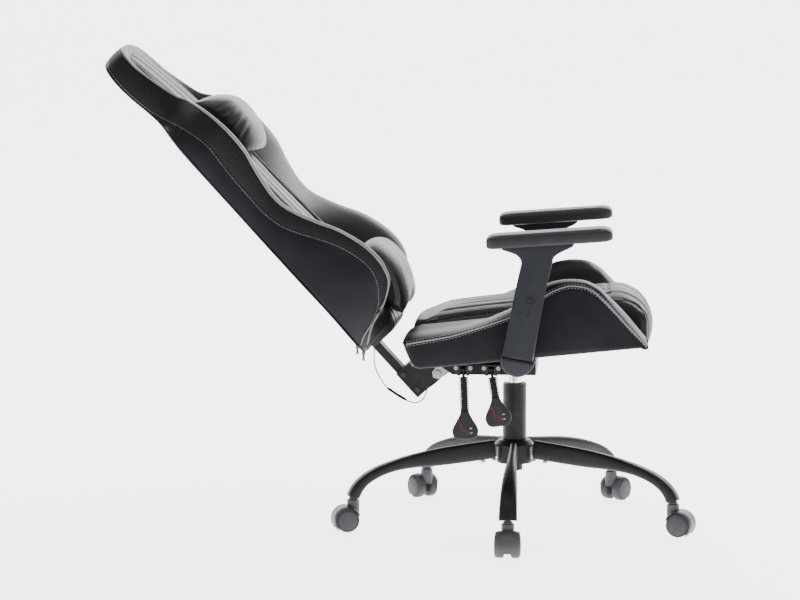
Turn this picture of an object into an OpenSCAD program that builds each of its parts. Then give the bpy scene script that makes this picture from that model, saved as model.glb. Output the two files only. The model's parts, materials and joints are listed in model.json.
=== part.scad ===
// Reclining gaming chair on a five-leg swivel base.
// +X is the front of the chair, +Y its left side, +Z up.
// The origin is on the floor, on the axis of the gas lift.

/* [Base] */
// Distance from the gas lift to each caster stem
base_radius = 350; // [330:5:365]
// Height of the underside of each leg's outer end
leg_end_z = 70; // [69:0.5:72]
// Width of each leg at its outer end
leg_end_w = 38; // [32:1:42]

/* [Casters] */
// Diameter of the caster wheels
wheel_d = 50; // [48:1:50]
// Distance from the caster's stem to its wheel axle
caster_trail = 16; // [14:1:18]
// Diameter of the caster's stem
stem_d = 11; // [10:0.5:12]

/* [Gas lift] */
// Outer diameter of the lower column
column_d = 50; // [48:1:52]
// Diameter of the chrome cylinder
cylinder_d = 28; // [26:0.5:30]
// Top of the lower column
column_top = 298; // [290:1:300]

/* [Seat] */
// Height of the seat pan's datum plane above the gas lift's foot
seat_z = 384; // [382:1:390]
// Slope of the seat, front edge up
seat_tilt = 6; // [4:0.5:7]
// Half the width of the seat's middle cushion
cushion_half = 160; // [150:1:165]
// Half the width of the whole seat
seat_half = 255; // [250:1:258]

/* [Backrest] */
// Angle between the backrest and the floor
back_rise = 47.4; // [46:0.2:49]
// Half the width of the backrest's middle panel
panel_half = 150; // [145:1:155]
// Half the width of the backrest over its wings
wing_half = 256; // [250:1:260]
// Half the width of the backrest over its shoulders
shoulder_half = 265; // [255:1:268]

/* [Armrests] */
// Distance from the middle of the chair to each armrest
arm_y = 308; // [300:1:315]
// Forward lean of the armrest posts
post_lean = 10; // [8:0.5:11]
// Length of the armrest pads
pad_length = 250; // [230:5:260]
// Width of the armrest pads
pad_width = 94; // [80:2:96]

/* [Hidden] */

$fn = 64;
leg_count = 5;
run_gap = 0.05;          // radial clearance of a shaft in its bearing
part_gap = 0.5;          // clearance between parts that slide or swing past each other

// Base
hub_bottom = 132;
hub_top = 181;
hub_d = 74;
collar_d = 84;
leg_start = [30, 162];   // radius and height where a leg's centre line leaves the hub
leg_bend = [190, 146];   // where it starts to curve down
leg_knee = [340, 131];   // control point of that curve
leg_foot = [base_radius + 1, leg_end_z - 4];
leg_steps = 9;
leg_sides = 16;
leg_run = 350;           // length of a leg's centre line
bolt_d = 6;
bolt_head_d = 10;
bolt_rows = [44, 69];    // radii of the two bolts in each leg

// Casters
wheel_r = wheel_d / 2;
hood_r = wheel_r + 4;
hood_half = 27.5;
wheel_in = 6.5;
wheel_out = 26.5;
axle_d = 6;
boss_d = 26;
boss_top = leg_end_z - 4.5;
stem_low = 48;
stem_high = 90;
flange_d = 19;

// Gas lift
tube_wall = 2;
foot_d = 35;             // closed lower end of the column, under the hub
foot_length = 16;
cylinder_low = 140;
cylinder_top = 368;
bush_length = 60;
socket_d = 44;
flange_in = 66;          // inner edge of the tray's side flanges

// Seat mechanism
tray_half = 98;
tray_front = 47;
tray_rear = -127;
tray_low = 330;
sheet = 3;
pan_low = -4;            // underside of the seat pan, below its datum
pan_high = 8;
pan_half = 225;
pivot = [-162, 322];     // recline pivot, X and Z
pivot_d = 10;
ear_in = 27.5;
ear_out = 31.5;

// Levers, each hanging from its own collar
lever_y = -105;
lever_bar_d = 6;
lift_pivot = [-45, 342];
lift_lean = 8.5;
lift_sleeve = 40;        // length of the corrugated sleeve
recline_pivot = [-103, 342];
recline_lean = 2;
recline_sleeve = 68;
sleeve_start = 16;       // distance from a lever's pivot to its sleeve

// Armrests
post_base = [16, 392];   // foot of the sliding sleeve on the post's centre line, X and Z
sleeve_w = 62;
sleeve_depth = 40;
sleeve_length = 208;
bar_w = 46;
bar_depth = 16;
arm_plate = 6;           // thickness of the steel plate under the seat
button_up = 118;         // height of the button along the post
button_d = 16;
pad_drop = 1.8;          // forward slope of the pad against the seat
pad_thick = 27;

// Cord: route points chosen by hand
cord_d = 2.4;
cord_route = [
    [-292, -40, 390], [-294, -40, 378], [-295, -40, 362], [-294, -40, 345], [-289, -41, 327],
    [-280, -42, 311], [-267, -43, 293], [-246, -43, 279], [-226, -42, 267], [-210, -37, 261],
    [-197, -30, 264], [-189, -22, 273], [-185, -16, 288]
];
cord_sides = 8;
joint_at = 6;            // route point where the joiner starts
joiner_d = 6;
cord_fine = 3;           // rings between two route points

// ---------------------------------------------------------------- helpers

function leg_angle(i) = -90 + 72 * (i - 1);

// Quadratic curve through a, towards b, ending at c
function curve(a, b, c, t) = a * (1 - t) * (1 - t) + b * 2 * t * (1 - t) + c * t * t;
function curve_dir(a, b, c, t) = (b - a) * (1 - t) + (c - b) * t;

// Smooth curve through the points of a list (Catmull-Rom), at segment k and fraction t
function through(p, k, t) =
    let (a = p[max(k - 1, 0)], b = p[k], c = p[k + 1], d = p[min(k + 2, len(p) - 1)])
    0.5 * (2 * b + (c - a) * t + (2 * a - 5 * b + 4 * c - d) * t * t + (3 * b - a - 3 * c + d) * t * t * t);

// Closed skin over rings with equal numbers of points
module skin(rings) {
    n = len(rings[0]);
    m = len(rings);
    sides = [for (j = [0 : m - 2]) for (i = [0 : n - 1]) for (f = [
        [j * n + i, j * n + (i + 1) % n, (j + 1) * n + (i + 1) % n],
        [j * n + i, (j + 1) * n + (i + 1) % n, (j + 1) * n + i]
    ]) f];
    low = [for (i = [n - 1 : -1 : 0]) i];
    high = [for (i = [0 : n - 1]) (m - 1) * n + i];
    polyhedron(points = [for (r = rings) for (p = r) p], faces = concat([low], sides, [high]));
}

// Outline in X and Z, as thick as the distance from y0 to y1
module slab(outline, y0, y1) {
    translate([0, y1, 0]) rotate([90, 0, 0]) linear_extrude(y1 - y0) polygon(outline);
}

module at_leg(i) {
    rotate([0, 0, leg_angle(i)]) children();
}

module at_caster(i) {
    at_leg(i) translate([base_radius, 0, 0]) children();
}

// Seat frame: x forward along the seat, z up from the pan
module at_seat() {
    translate([0, 0, seat_z]) rotate([0, -seat_tilt, 0]) children();
}

// Back frame: z up along the backrest, x forward out of it, origin on the recline pivot
module at_back() {
    translate([pivot[0], 0, pivot[1]]) rotate([0, back_rise - 90, 0]) children();
}

// Armrest frame: z up along the post, x forward, y towards the middle of the chair
module at_arm(side) {
    translate([post_base[0], side * arm_y, post_base[1]]) rotate([0, post_lean, 0]) scale_side(side) children();
}

// Mirrors the right armrest to the left
module scale_side(side) {
    if (side < 0) {
        children();
    } else {
        mirror([0, 1, 0]) children();
    }
}

// Lever frame: origin on the lever's pivot, z up along it
module at_lever(place, lean) {
    translate([place[0], lever_y, place[1]]) rotate([0, -lean, 0]) children();
}

// ---------------------------------------------------------------- base

module hub_profile(inner) {
    polygon([
        [inner, hub_bottom], [hub_d / 2, hub_bottom], [hub_d / 2, hub_top - 13], [collar_d / 2, hub_top - 13],
        [collar_d / 2, hub_top - 10], [collar_d / 2 - 9, hub_top], [inner, hub_top]
    ]);
}

module base_hub() {
    color("#26272a") rotate_extrude() hub_profile(column_d / 2);
}

// Ring across a leg: centre at radius and height c, along direction d, of depth h and width w
function leg_ring(c, d, h, w) =
    let (u = d / norm(d), k = 0.72)
    [for (j = [0 : leg_sides - 1])
        let (a = 360 * (j + 0.5) / leg_sides, up = pow(abs(sin(a)), k) * sign(sin(a)) * h / 2)
        [c[0] - u[1] * up, pow(abs(cos(a)), k) * sign(cos(a)) * w / 2, c[1] + u[0] * up]
    ];

function leg_depth(s) = lookup(s, [[0, 40], [115, 38], [185, 29], [235, 23], [300, 23], [leg_run, 28]]);
function leg_width(s) = lookup(s, [[0, 16], [115, 20], [235, 31], [leg_run, leg_end_w]]);

function leg_rings() = concat(
    [for (t = [0, 0.5]) let (c = leg_start + (leg_bend - leg_start) * t, s = 160 * t)
        leg_ring(c, leg_bend - leg_start, leg_depth(s), leg_width(s))],
    [for (k = [0 : leg_steps]) let (t = k / leg_steps, s = 160 + (leg_run - 160) * t)
        leg_ring(curve(leg_bend, leg_knee, leg_foot, t), curve_dir(leg_bend, leg_knee, leg_foot, t),
            leg_depth(s), leg_width(s))]
);

function leg_low(r) = 142 - 0.1 * (r - 36);

module base_leg(i) {
    color("#232427") at_leg(i) difference() {
        skin(leg_rings());
        rotate_extrude() hub_profile(0);
        translate([base_radius - 60, -40, leg_end_z - 30]) cube([120, 80, 30]);
        translate([base_radius, 0, leg_end_z - 1]) cylinder(d = stem_d, h = stem_high - leg_end_z + 1);
        for (r = bolt_rows) {
            translate([r, 0, leg_low(r) - 10]) cylinder(d = bolt_d, h = 30);
        }
    }
}

module leg_bolts() {
    color("#3a3c40") for (i = [1 : leg_count]) {
        at_leg(i) for (r = bolt_rows) {
            translate([r, 0, leg_low(r) - 5]) cylinder(d = bolt_head_d, h = 4);
            translate([r, 0, leg_low(r) - 2]) cylinder(d = bolt_d, h = 22);
        }
    }
}

module caster_stems() {
    color("#9a9ca0") for (i = [1 : leg_count]) {
        at_caster(i) translate([0, 0, stem_low]) cylinder(d = stem_d, h = stem_high - stem_low);
        at_caster(i) translate([0, 0, boss_top + part_gap]) cylinder(d = flange_d, h = leg_end_z - boss_top - part_gap);
    }
}

module column_tube() {
    color("#1d1e20") difference() {
        union() {
            translate([0, 0, hub_bottom]) cylinder(d = column_d, h = column_top - hub_bottom);
            translate([0, 0, hub_bottom - foot_length]) cylinder(d = foot_d, h = foot_length);
        }
        translate([0, 0, hub_bottom + sheet]) cylinder(d = column_d - 2 * tube_wall, h = column_top);
    }
}

module column_bush() {
    bush_d = column_d - 2 * tube_wall;
    color("#101113") difference() {
        union() {
            translate([0, 0, column_top - bush_length]) cylinder(d = bush_d, h = bush_length);
            translate([0, 0, column_top]) cylinder(d = column_d - 1, h = 3);
        }
        translate([0, 0, column_top - bush_length - 1])
            cylinder(d = cylinder_d + 2 * run_gap, h = bush_length + 6);
    }
}

// ---------------------------------------------------------------- casters

// Barrel of radius r, with rounded ends, along Y
module barrel(r, half) {
    rotate([90, 0, 0]) rotate_extrude() polygon([
        [0, -half], [r - 6, -half], [r - 2, -half + 4], [r, -half + 11],
        [r, half - 11], [r - 2, half - 4], [r - 6, half], [0, half]
    ]);
}

module caster_hood(i) {
    color("#3b3c40") at_caster(i) difference() {
        union() {
            translate([caster_trail, 0, wheel_r]) barrel(hood_r, hood_half);
            translate([0, 0, wheel_r]) cylinder(d = boss_d, h = boss_top - wheel_r);
        }
        for (side = [-1, 1]) {
            translate([caster_trail, side * (hood_half + 3), wheel_r]) rotate([90, 0, 0])
                cylinder(r = wheel_r + 0.8, h = 2 * (hood_half + 3 - wheel_in + 0.8), center = true);
        }
        translate([caster_trail - 50, -40, -10]) cube([42, 80, wheel_r + 18]);
        translate([caster_trail, 0, -10]) cube([80, 27, 44], center = true);
        translate([caster_trail - 50, -40, -10]) cube([100, 80, 15]);
        translate([caster_trail, 0, wheel_r]) rotate([90, 0, 0])
            cylinder(d = axle_d + 2 * run_gap, h = 30, center = true);
        translate([0, 0, stem_low - part_gap]) cylinder(d = stem_d + 2 * run_gap, h = 40);
    }
}

module caster_wheels(i) {
    color("#2f3033") at_caster(i) translate([caster_trail, 0, wheel_r]) rotate([90, 0, 0]) {
        cylinder(d = axle_d, h = 2 * wheel_in + 2, center = true);
        for (side = [0, 1]) {
            mirror([0, 0, side]) rotate_extrude() polygon([
                [0, wheel_in], [wheel_r - 3, wheel_in], [wheel_r - 0.7, wheel_in + 2.5], [wheel_r, wheel_in + 6],
                [wheel_r, wheel_out - 7], [wheel_r - 1, wheel_out - 3], [wheel_r - 4, wheel_out], [0, wheel_out]
            ]);
        }
    }
}

// ---------------------------------------------------------------- gas lift

module lift_cylinder() {
    color("#d7d9dc") difference() {
        translate([0, 0, cylinder_low]) cylinder(d = cylinder_d, h = cylinder_top - cylinder_low);
        translate([0, 0, cylinder_top - 12]) cylinder(d = 8 + 2 * run_gap, h = 20);
    }
}

module valve_pin() {
    color("#b08d3a") translate([0, 0, cylinder_top - 8]) cylinder(d = 8, h = 14);
}

// ---------------------------------------------------------------- seat mechanism

// Height of the pan's underside at X
function pan_under(x) = seat_z + pan_low / cos(seat_tilt) + x * tan(seat_tilt);

// Side view of the tray's hollow or outside: inset from its walls, and lowered from the pan
function tray_outline(inset, lower) = [
    [tray_rear - 20 + inset, pan_under(tray_rear - 20 + inset) - lower], [tray_rear - 22 + inset, tray_low + 16],
    [tray_rear + inset / 2, tray_low + inset], [tray_front - inset, tray_low + inset],
    [tray_front - inset, pan_under(tray_front - inset) - lower]
];

// Pressed tray under the pan, with inward flanges along its sides and the welded socket for the gas lift
module mechanism_tray() {
    color("#1b1c1e") difference() {
        union() {
            difference() {
                slab(tray_outline(0, 0), -tray_half, tray_half);
                slab(tray_outline(sheet, sheet), sheet - tray_half, tray_half - sheet);
                slab(tray_outline(sheet, -1), -flange_in, flange_in);
            }
            translate([0, 0, tray_low - 4]) cylinder(d = socket_d, h = 42);
        }
        translate([0, 0, tray_low - 5]) cylinder(d = cylinder_d + 2 * run_gap, h = 60);
        translate([tray_rear - 30, -ear_out, tray_low - 5]) cube([36, 2 * ear_out, 50]);
        pan_bolt_holes();
    }
}

// Places of the four bolts that hold the tray to the pan
module at_pan_bolts() {
    at_seat() for (x = [-105, 25]) for (y = [-80, 80]) {
        translate([x, y, pan_low]) children();
    }
}

// Places of the bolts that hold the arm brackets to the pan
module at_arm_bolts() {
    at_seat() for (x = [2, 30]) for (y = [-150, 150]) {
        translate([x, y, pan_low]) children();
    }
}

module pan_bolt_holes() {
    at_pan_bolts() translate([0, 0, -20]) cylinder(d = bolt_d, h = 60);
}

module arm_bolt_holes() {
    at_arm_bolts() translate([0, 0, -20]) cylinder(d = bolt_d, h = 60);
}

module recline_ears() {
    ear = [
        [pivot[0] - 11, pivot[1] + 4], [pivot[0] - 9, pivot[1] - 8], [pivot[0] + 4, pivot[1] - 11],
        [tray_rear + 3, tray_low + sheet], [tray_rear + 40, tray_low + sheet], [tray_rear + 40, pan_under(tray_rear + 40) - 2],
        [tray_rear - 18, pan_under(tray_rear - 18) - 2]
    ];
    color("#b9bbbe") for (side = [-1, 1]) {
        difference() {
            slab(ear, side * (ear_in + ear_out) / 2 - 2, side * (ear_in + ear_out) / 2 + 2);
            translate([pivot[0], 0, pivot[1]]) rotate([90, 0, 0]) cylinder(d = pivot_d, h = 90, center = true);
        }
    }
}

module recline_pin() {
    color("#c4c6c9") translate([pivot[0], 0, pivot[1]]) rotate([90, 0, 0]) {
        cylinder(d = pivot_d, h = 2 * ear_out, center = true);
        for (side = [-1, 1]) {
            translate([0, 0, side * (ear_out + 3.5)]) cylinder(d = 15, h = 7, center = true);
        }
    }
}

module mechanism_bolts() {
    color("#8e9094") {
        at_pan_bolts() {
            translate([0, 0, -sheet - 5 - run_gap]) cylinder(d = 12, h = 5);
            translate([0, 0, -sheet - 1]) cylinder(d = bolt_d, h = sheet + 11);
        }
        at_arm_bolts() {
            translate([0, 0, -arm_plate - 5 - run_gap]) cylinder(d = 12, h = 5);
            translate([0, 0, -arm_plate - 1]) cylinder(d = bolt_d, h = arm_plate + 11);
        }
        for (place = [lift_pivot, recline_pivot]) for (x = [-15, 15]) {
            translate([place[0] + x, lever_y - 9, place[1] + 4]) rotate([90, 0, 0]) cylinder(d = 9, h = 3);
        }
    }
}

// Two collars on the tray's right side, each with a slot that its lever swings in
module lever_collars() {
    color("#17181a") for (place = [lift_pivot, recline_pivot]) {
        translate([place[0], lever_y, place[1]]) difference() {
            slab([[-20, 11], [-20, -1], [-12, -12], [12, -12], [20, -1], [20, 11]], -9, 7);
            slab([[-6, 8], [-6, -20], [6, -20], [6, 8]], -20, 5);
            rotate([0, 90, 0]) cylinder(d = 4, h = 26, center = true);
        }
    }
}

module seat_pan() {
    color("#141416") difference() {
        at_seat() translate([-190, -pan_half, pan_low]) cube([452, 2 * pan_half, pan_high - pan_low]);
        pan_bolt_holes();
        arm_bolt_holes();
    }
}

module seat_cushion() {
    color("#2d2e31") at_seat() slab([
        [-186, pan_high], [-200, 26], [-206, 52], [-202, 74], [-190, 88], [-170, 95], [-60, 98], [120, 98],
        [227, 101], [258, 95], [277, 84], [290, 64], [296, 42], [295, 20], [288, -6], [280, -22],
        [270, -31], [263, -22], [263, pan_high]
    ], -cushion_half, cushion_half);
}

// Side bolster of the seat: tall wing near the front, wrapping down over the pan's edge
module seat_bolster(side) {
    outer = [
        [-192, pan_low], [-205, 20], [-214, 52], [-214, 70], [-206, 82], [-190, 88], [-86, 84], [-35, 90],
        [10, 98], [45, 118], [82, 138], [112, 146], [140, 145], [168, 138], [192, 122], [214, 98],
        [238, 68], [262, 36], [274, 12], [278, -8], [270, -14], [263, pan_low]
    ];
    color("#242528") at_seat() scale_side(side) difference() {
        slab(outer, -seat_half, -cushion_half - part_gap / 2);
        translate([-300, -pan_half, pan_low - 20]) cube([600, pan_half, pan_high - pan_low + 20]);
        translate([-300, -seat_half, pan_high + 95]) rotate([28, 0, 0]) translate([0, -80, -40]) cube([700, 80, 160]);
    }
}

// ---------------------------------------------------------------- levers

module lever_rod(place, lean, length) {
    color("#9fa1a5") {
        at_lever(place, lean) translate([0, 0, -length]) cylinder(d = lever_bar_d, h = length);
        translate([place[0], lever_y, place[1]]) rotate([0, 90, 0]) {
            cylinder(d = 4 - 2 * run_gap, h = 24, center = true);
            cylinder(d = 8, h = 11, center = true);
        }
    }
}

module lever_sleeve(place, lean, length) {
    rings = round(length / 4.2);
    step = length / rings;
    color("#101113") at_lever(place, lean) translate([0, 0, -sleeve_start - length]) rotate_extrude() polygon(concat(
        [[lever_bar_d / 2, length], [lever_bar_d / 2, 0]],
        [for (k = [0 : rings - 1]) for (p = [[8, (k + 0.1) * step], [10, (k + 0.5) * step]]) p],
        [[8, length]]
    ));
}

module lever_paddle(place, lean, start, length) {
    half = 27;
    color("#17181a") at_lever(place, lean) difference() {
        translate([0, 5.5, -start]) rotate([90, 0, 0]) linear_extrude(11) hull() {
            translate([-8, -3]) square([16, 3]);
            for (side = [-1, 1]) {
                translate([side * (half - 12), -length * 0.62]) circle(r = 12, $fn = 32);
                translate([side * (half - 15), -length + 8]) circle(r = 8, $fn = 32);
            }
        }
        translate([0, 0, -start - 12]) cylinder(d = lever_bar_d, h = 20);
    }
}

module lift_lever_rod() {
    lever_rod(lift_pivot, lift_lean, sleeve_start + lift_sleeve + 12);
}

module lift_lever_sleeve() {
    lever_sleeve(lift_pivot, lift_lean, lift_sleeve);
}

module lift_lever_paddle() {
    lever_paddle(lift_pivot, lift_lean, sleeve_start + lift_sleeve, 64);
}

module recline_lever_rod() {
    lever_rod(recline_pivot, recline_lean, sleeve_start + recline_sleeve + 12);
}

module recline_lever_sleeve() {
    lever_sleeve(recline_pivot, recline_lean, recline_sleeve);
}

module recline_lever_paddle() {
    lever_paddle(recline_pivot, recline_lean, sleeve_start + recline_sleeve, 63);
}

// ---------------------------------------------------------------- backrest

// Half outline of the backrest from the front: half width and height
half_back = [
    [panel_half - 70, 946], [panel_half - 22, 925], [panel_half - 4, 892], [panel_half, 840],
    [panel_half + 2, 800], [170, 772], [215, 745], [250, 716], [shoulder_half, 680],
    [shoulder_half, 636], [wing_half - 2, 560], [wing_half - 8, 500], [wing_half - 6, 420],
    [wing_half, 340], [wing_half, 280], [246, 222], [222, 176], [186, 146], [150, 138]
];
board_face = -44;        // front of the rear shell
spine_rear = -64;
spine_thick = 18;
spine_half = 22;
bracket_half = 27;
clamp_rows = [3, 46];    // heights of the clamp bolts

module back_outline() {
    polygon(concat(half_back, [for (k = [len(half_back) - 1 : -1 : 0]) [-half_back[k][0], half_back[k][1]]]));
}

// Holes for the two bolts that clamp the spine in its bracket
module clamp_holes() {
    for (z = clamp_rows) {
        translate([spine_rear + spine_thick / 2, 0, z]) rotate([90, 0, 0]) cylinder(d = bolt_d, h = 90, center = true);
    }
}

// Flat steel tube from the recline bracket up inside the backrest
module back_spine() {
    color("#1a1b1d") at_back() difference() {
        translate([spine_rear, -spine_half, -8]) cube([spine_thick, 2 * spine_half, 440]);
        clamp_holes();
    }
}

module back_bracket() {
    color("#18191b") at_back() difference() {
        union() {
            translate([-66, -bracket_half, -10]) cube([37, 2 * bracket_half, 68]);
            slab([[-40, -10], [-14, -13], [0, -12], [9, -9], [12, 0], [8, 9], [-28, 46], [-40, 46]],
                -bracket_half, bracket_half);
        }
        translate([spine_rear, -spine_half, -8]) cube([spine_thick, 2 * spine_half, 80]);
        translate([-41, -spine_half, -20]) cube([60, 2 * spine_half, 64]);
        rotate([90, 0, 0]) cylinder(d = pivot_d + 2 * run_gap, h = 90, center = true);
        clamp_holes();
    }
}

module clamp_bolts() {
    color("#6d6f73") at_back() for (z = clamp_rows) {
        translate([spine_rear + spine_thick / 2, 0, z]) rotate([90, 0, 0]) {
            cylinder(d = bolt_d, h = 2 * bracket_half, center = true);
            for (side = [-1, 1]) {
                translate([0, 0, side * (bracket_half + 2)]) cylinder(d = 11, h = 4, center = true);
            }
        }
    }
}

// Rear shell of the backrest, crowned towards its middle and its waist
module back_shell() {
    color("#1f2022") at_back() difference() {
        intersection() {
            translate([-80, 0, 0]) rotate([90, 0, 90]) linear_extrude(80 + board_face) back_outline();
            linear_extrude(960) polygon([
                [board_face, -270], [-52, -270], [-60, -160], [-68, -60], [-68, 60], [-60, 160], [-52, 270],
                [board_face, 270]
            ]);
            slab([
                [board_face, 120], [-58, 120], [-66, 190], [-68, 300], [-68, 640], [-62, 760], [-60, 880],
                [-54, 930], [-46, 950], [board_face, 950]
            ], -280, 280);
        }
        translate([spine_rear, -spine_half, 100]) cube([spine_thick, 2 * spine_half, 332]);
    }
}

module back_cushion() {
    color("#303135") at_back() slab([
        [board_face, 140], [24, 150], [32, 175], [30, 230], [22, 300], [16, 400], [11, 500], [9, 600],
        [4, 700], [-2, 780], [-8, 830], [-14, 876], [-20, 916], [-34, 940], [board_face, 944]
    ], -panel_half + 16, panel_half - 16);
}

// Side bolster of the backrest: its outline from the side, trimmed to the outline from the front
module back_bolster(side) {
    profile = [
        [board_face, 120], [-20, 150], [4, 178], [40, 190], [66, 203], [85, 219], [95, 242], [98, 272],
        [94, 309], [79, 358], [56, 402], [35, 445], [26, 480], [26, 512], [35, 562], [46, 604], [49, 650],
        [46, 690], [36, 730], [19, 767], [5, 790], [-6, 830], [-17, 876], [-21, 916], [-30, 946],
        [board_face, 950]
    ];
    color("#242528") at_back() scale_side(side) intersection() {
        slab(profile, -300, -panel_half + 16 - part_gap / 2);
        translate([board_face, 0, 0]) rotate([90, 0, 90]) linear_extrude(200) back_outline();
    }
}

module head_pillow() {
    color("#26272b") at_back() slab([
        [11, 604], [42, 592], [60, 604], [78, 628], [87, 655], [91, 686], [85, 714], [70, 736], [44, 756],
        [16, 774], [8, 778]
    ], -128, 128);
}

module lumbar_pillow() {
    color("#34353a") at_back() slab([
        [34, 160], [60, 150], [82, 168], [95, 194], [104, 222], [108, 252], [104, 286], [90, 306], [64, 314],
        [26, 312], [33, 230]
    ], -132, 132);
}

module pillow_straps() {
    color("#0d0d0f") at_back() for (side = [-1, 1]) {
        slab([
            [21.8, 313], [16.4, 400], [11.4, 500], [9.4, 600], [11.2, 600], [13.3, 500], [18.3, 400], [23.8, 313]
        ], side * 96 - 13, side * 96 + 13);
    }
}

module zip_pulls() {
    color("#c9cbce") at_back() for (place = [[-59.5, 160], [-59, 142]]) {
        translate([place[0], -204, place[1]]) rotate([0, 90 - back_rise, 0]) difference() {
            translate([-1, -3.5, -16]) cube([2, 7, 16]);
            translate([0, 0, -12]) rotate([0, 90, 0]) cylinder(d = 3, h = 10, center = true);
        }
    }
}

// ---------------------------------------------------------------- armrests

// Steel arm: plate under the seat and a bar up inside the sleeve
module arm_bracket(side) {
    color("#2a2b2e") {
        difference() {
            scale_side(side) at_seat() translate([-12, -arm_y - bar_depth / 2, pan_low - arm_plate])
                cube([56, arm_y + bar_depth / 2 - 112, arm_plate]);
            arm_bolt_holes();
        }
        at_arm(side) translate([-bar_w / 2, -bar_depth / 2, -20]) cube([bar_w, bar_depth, 190]);
    }
}

// Fixed cup round the foot of the arm, slotted for the steel plate
module arm_cover(side) {
    wall = 3;
    color("#17181a") difference() {
        at_arm(side) slab([
            [-32, -3], [-34, -10], [-26, -26], [-14, -35], [4, -38], [18, -34], [32, -20], [37, -6], [35, -3]
        ], -sleeve_depth / 2 - 1, sleeve_depth / 2 + 8);
        at_arm(side) slab([
            [-29, 5], [-30.5, -10], [-23.5, -24], [-12.5, -32], [4, -35], [16.5, -31], [29, -18], [33.5, -6], [32, 5]
        ], -sleeve_depth / 2 - 1 + wall, sleeve_depth / 2 + 8 - wall);
        scale_side(side) at_seat() translate([-13, -arm_y, pan_low - 7]) cube([58, 200, 8]);
    }
}

// Frame of the armrest pad: origin in its middle
module at_pad(side) {
    scale_side(side) at_seat() translate([104.5, -arm_y, 241]) rotate([0, pad_drop, 0]) children();
}

// Sliding sleeve, creased on its outer face, with a flared head under the pad
module arm_sleeve(side) {
    w = sleeve_w / 2;
    d = sleeve_depth / 2;
    color("#39434f") difference() {
        union() {
            at_arm(side) linear_extrude(sleeve_length)
                polygon([[-w, -d + 5], [-w + 24, -d], [w - 6, -d + 3], [w, -d + 9], [w, d], [-w, d]]);
            at_pad(side) slab([
                [-96, -pad_thick / 2], [-96, -18], [-64, -28], [-59, -42], [2, -46], [6, -38], [42, -23], [47, -20],
                [47, -pad_thick / 2]
            ], -d, d);
        }
        at_arm(side) translate([-bar_w / 2 - 1, -bar_depth / 2 - 1, -1]) cube([bar_w + 2, bar_depth + 2, sleeve_length - 15]);
        at_arm(side) translate([4, -30, button_up]) rotate([-90, 0, 0]) cylinder(d = button_d + 2 * run_gap, h = 22);
    }
}

module arm_button(side) {
    color("#101113") at_arm(side) translate([4, -sleeve_depth / 2 - 0.3, button_up]) rotate([-90, 0, 0]) {
        cylinder(d = button_d, h = 7);
    }
}

module arm_pad(side) {
    r = 16;
    color("#232428") at_pad(side) linear_extrude(pad_thick, center = true) union() {
        square([pad_length - 2 * r, pad_width], center = true);
        square([pad_length, pad_width - 2 * r], center = true);
        for (x = [-1, 1]) for (y = [-1, 1]) {
            translate([x * (pad_length / 2 - r), y * (pad_width / 2 - r)]) circle(r = r);
        }
    }
}

// ---------------------------------------------------------------- cord

function cord_line() = concat(
    [for (k = [0 : len(cord_route) - 2]) for (j = [0 : cord_fine - 1]) through(cord_route, k, j / cord_fine)],
    [cord_route[len(cord_route) - 1]]
);

// Rings across the line, each square to it
function cord_rings(line) = [for (k = [0 : len(line) - 1])
    let (
        d = line[min(k + 1, len(line) - 1)] - line[max(k - 1, 0)],
        u = d / norm(d),
        side = cross(u, [0, 1, 0]) / norm(cross(u, [0, 1, 0])),
        up = cross(side, u)
    )
    [for (j = [0 : cord_sides - 1]) let (a = 360 * j / cord_sides) line[k] + (side * cos(a) + up * sin(a)) * cord_d / 2]
];

module cord() {
    color("#0c0c0d") skin(cord_rings(cord_line()));
}

// Sleeve that joins the cord's two halves, along the stretch between two of its route points
module cord_joiner() {
    from = cord_route[joint_at];
    along = cord_route[joint_at + 2] - from;
    color("#0a0a0b") translate(from) rotate([0, 0, atan2(along[1], along[0])])
        rotate([0, 90 - atan2(along[2], norm([along[0], along[1]])), 0]) cylinder(d = joiner_d, h = norm(along));
}

// ---------------------------------------------------------------- nodes

base_hub();
base_leg(1);  // base_leg_1
base_leg(2);  // base_leg_2
base_leg(3);  // base_leg_3
base_leg(4);  // base_leg_4
base_leg(5);  // base_leg_5
leg_bolts();
caster_stems();
column_tube();
column_bush();
caster_hood(1);  // caster_hood_1
caster_hood(2);  // caster_hood_2
caster_hood(3);  // caster_hood_3
caster_hood(4);  // caster_hood_4
caster_hood(5);  // caster_hood_5
caster_wheels(1);  // caster_wheels_1
caster_wheels(2);  // caster_wheels_2
caster_wheels(3);  // caster_wheels_3
caster_wheels(4);  // caster_wheels_4
caster_wheels(5);  // caster_wheels_5
lift_cylinder();
valve_pin();
mechanism_tray();
recline_ears();
recline_pin();
mechanism_bolts();
lever_collars();
seat_pan();
seat_cushion();
seat_bolster(-1);  // seat_bolster_right
seat_bolster(1);  // seat_bolster_left
lift_lever_rod();
lift_lever_sleeve();
lift_lever_paddle();
recline_lever_rod();
recline_lever_sleeve();
recline_lever_paddle();
back_spine();
back_bracket();
clamp_bolts();
back_shell();
back_cushion();
back_bolster(-1);  // back_bolster_right
back_bolster(1);  // back_bolster_left
head_pillow();
lumbar_pillow();
pillow_straps();
zip_pulls();
arm_bracket(-1);  // arm_bracket_right
arm_sleeve(-1);  // arm_sleeve_right
arm_cover(-1);  // arm_cover_right
arm_pad(-1);  // arm_pad_right
arm_button(-1);  // arm_button_right
arm_bracket(1);  // arm_bracket_left
arm_sleeve(1);  // arm_sleeve_left
arm_cover(1);  // arm_cover_left
arm_pad(1);  // arm_pad_left
arm_button(1);  // arm_button_left
cord();
cord_joiner();
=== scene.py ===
import json
import math
import random

import bmesh
import bpy
import numpy as np
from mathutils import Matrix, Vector, noise
from mathutils.bvhtree import BVHTree


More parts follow.
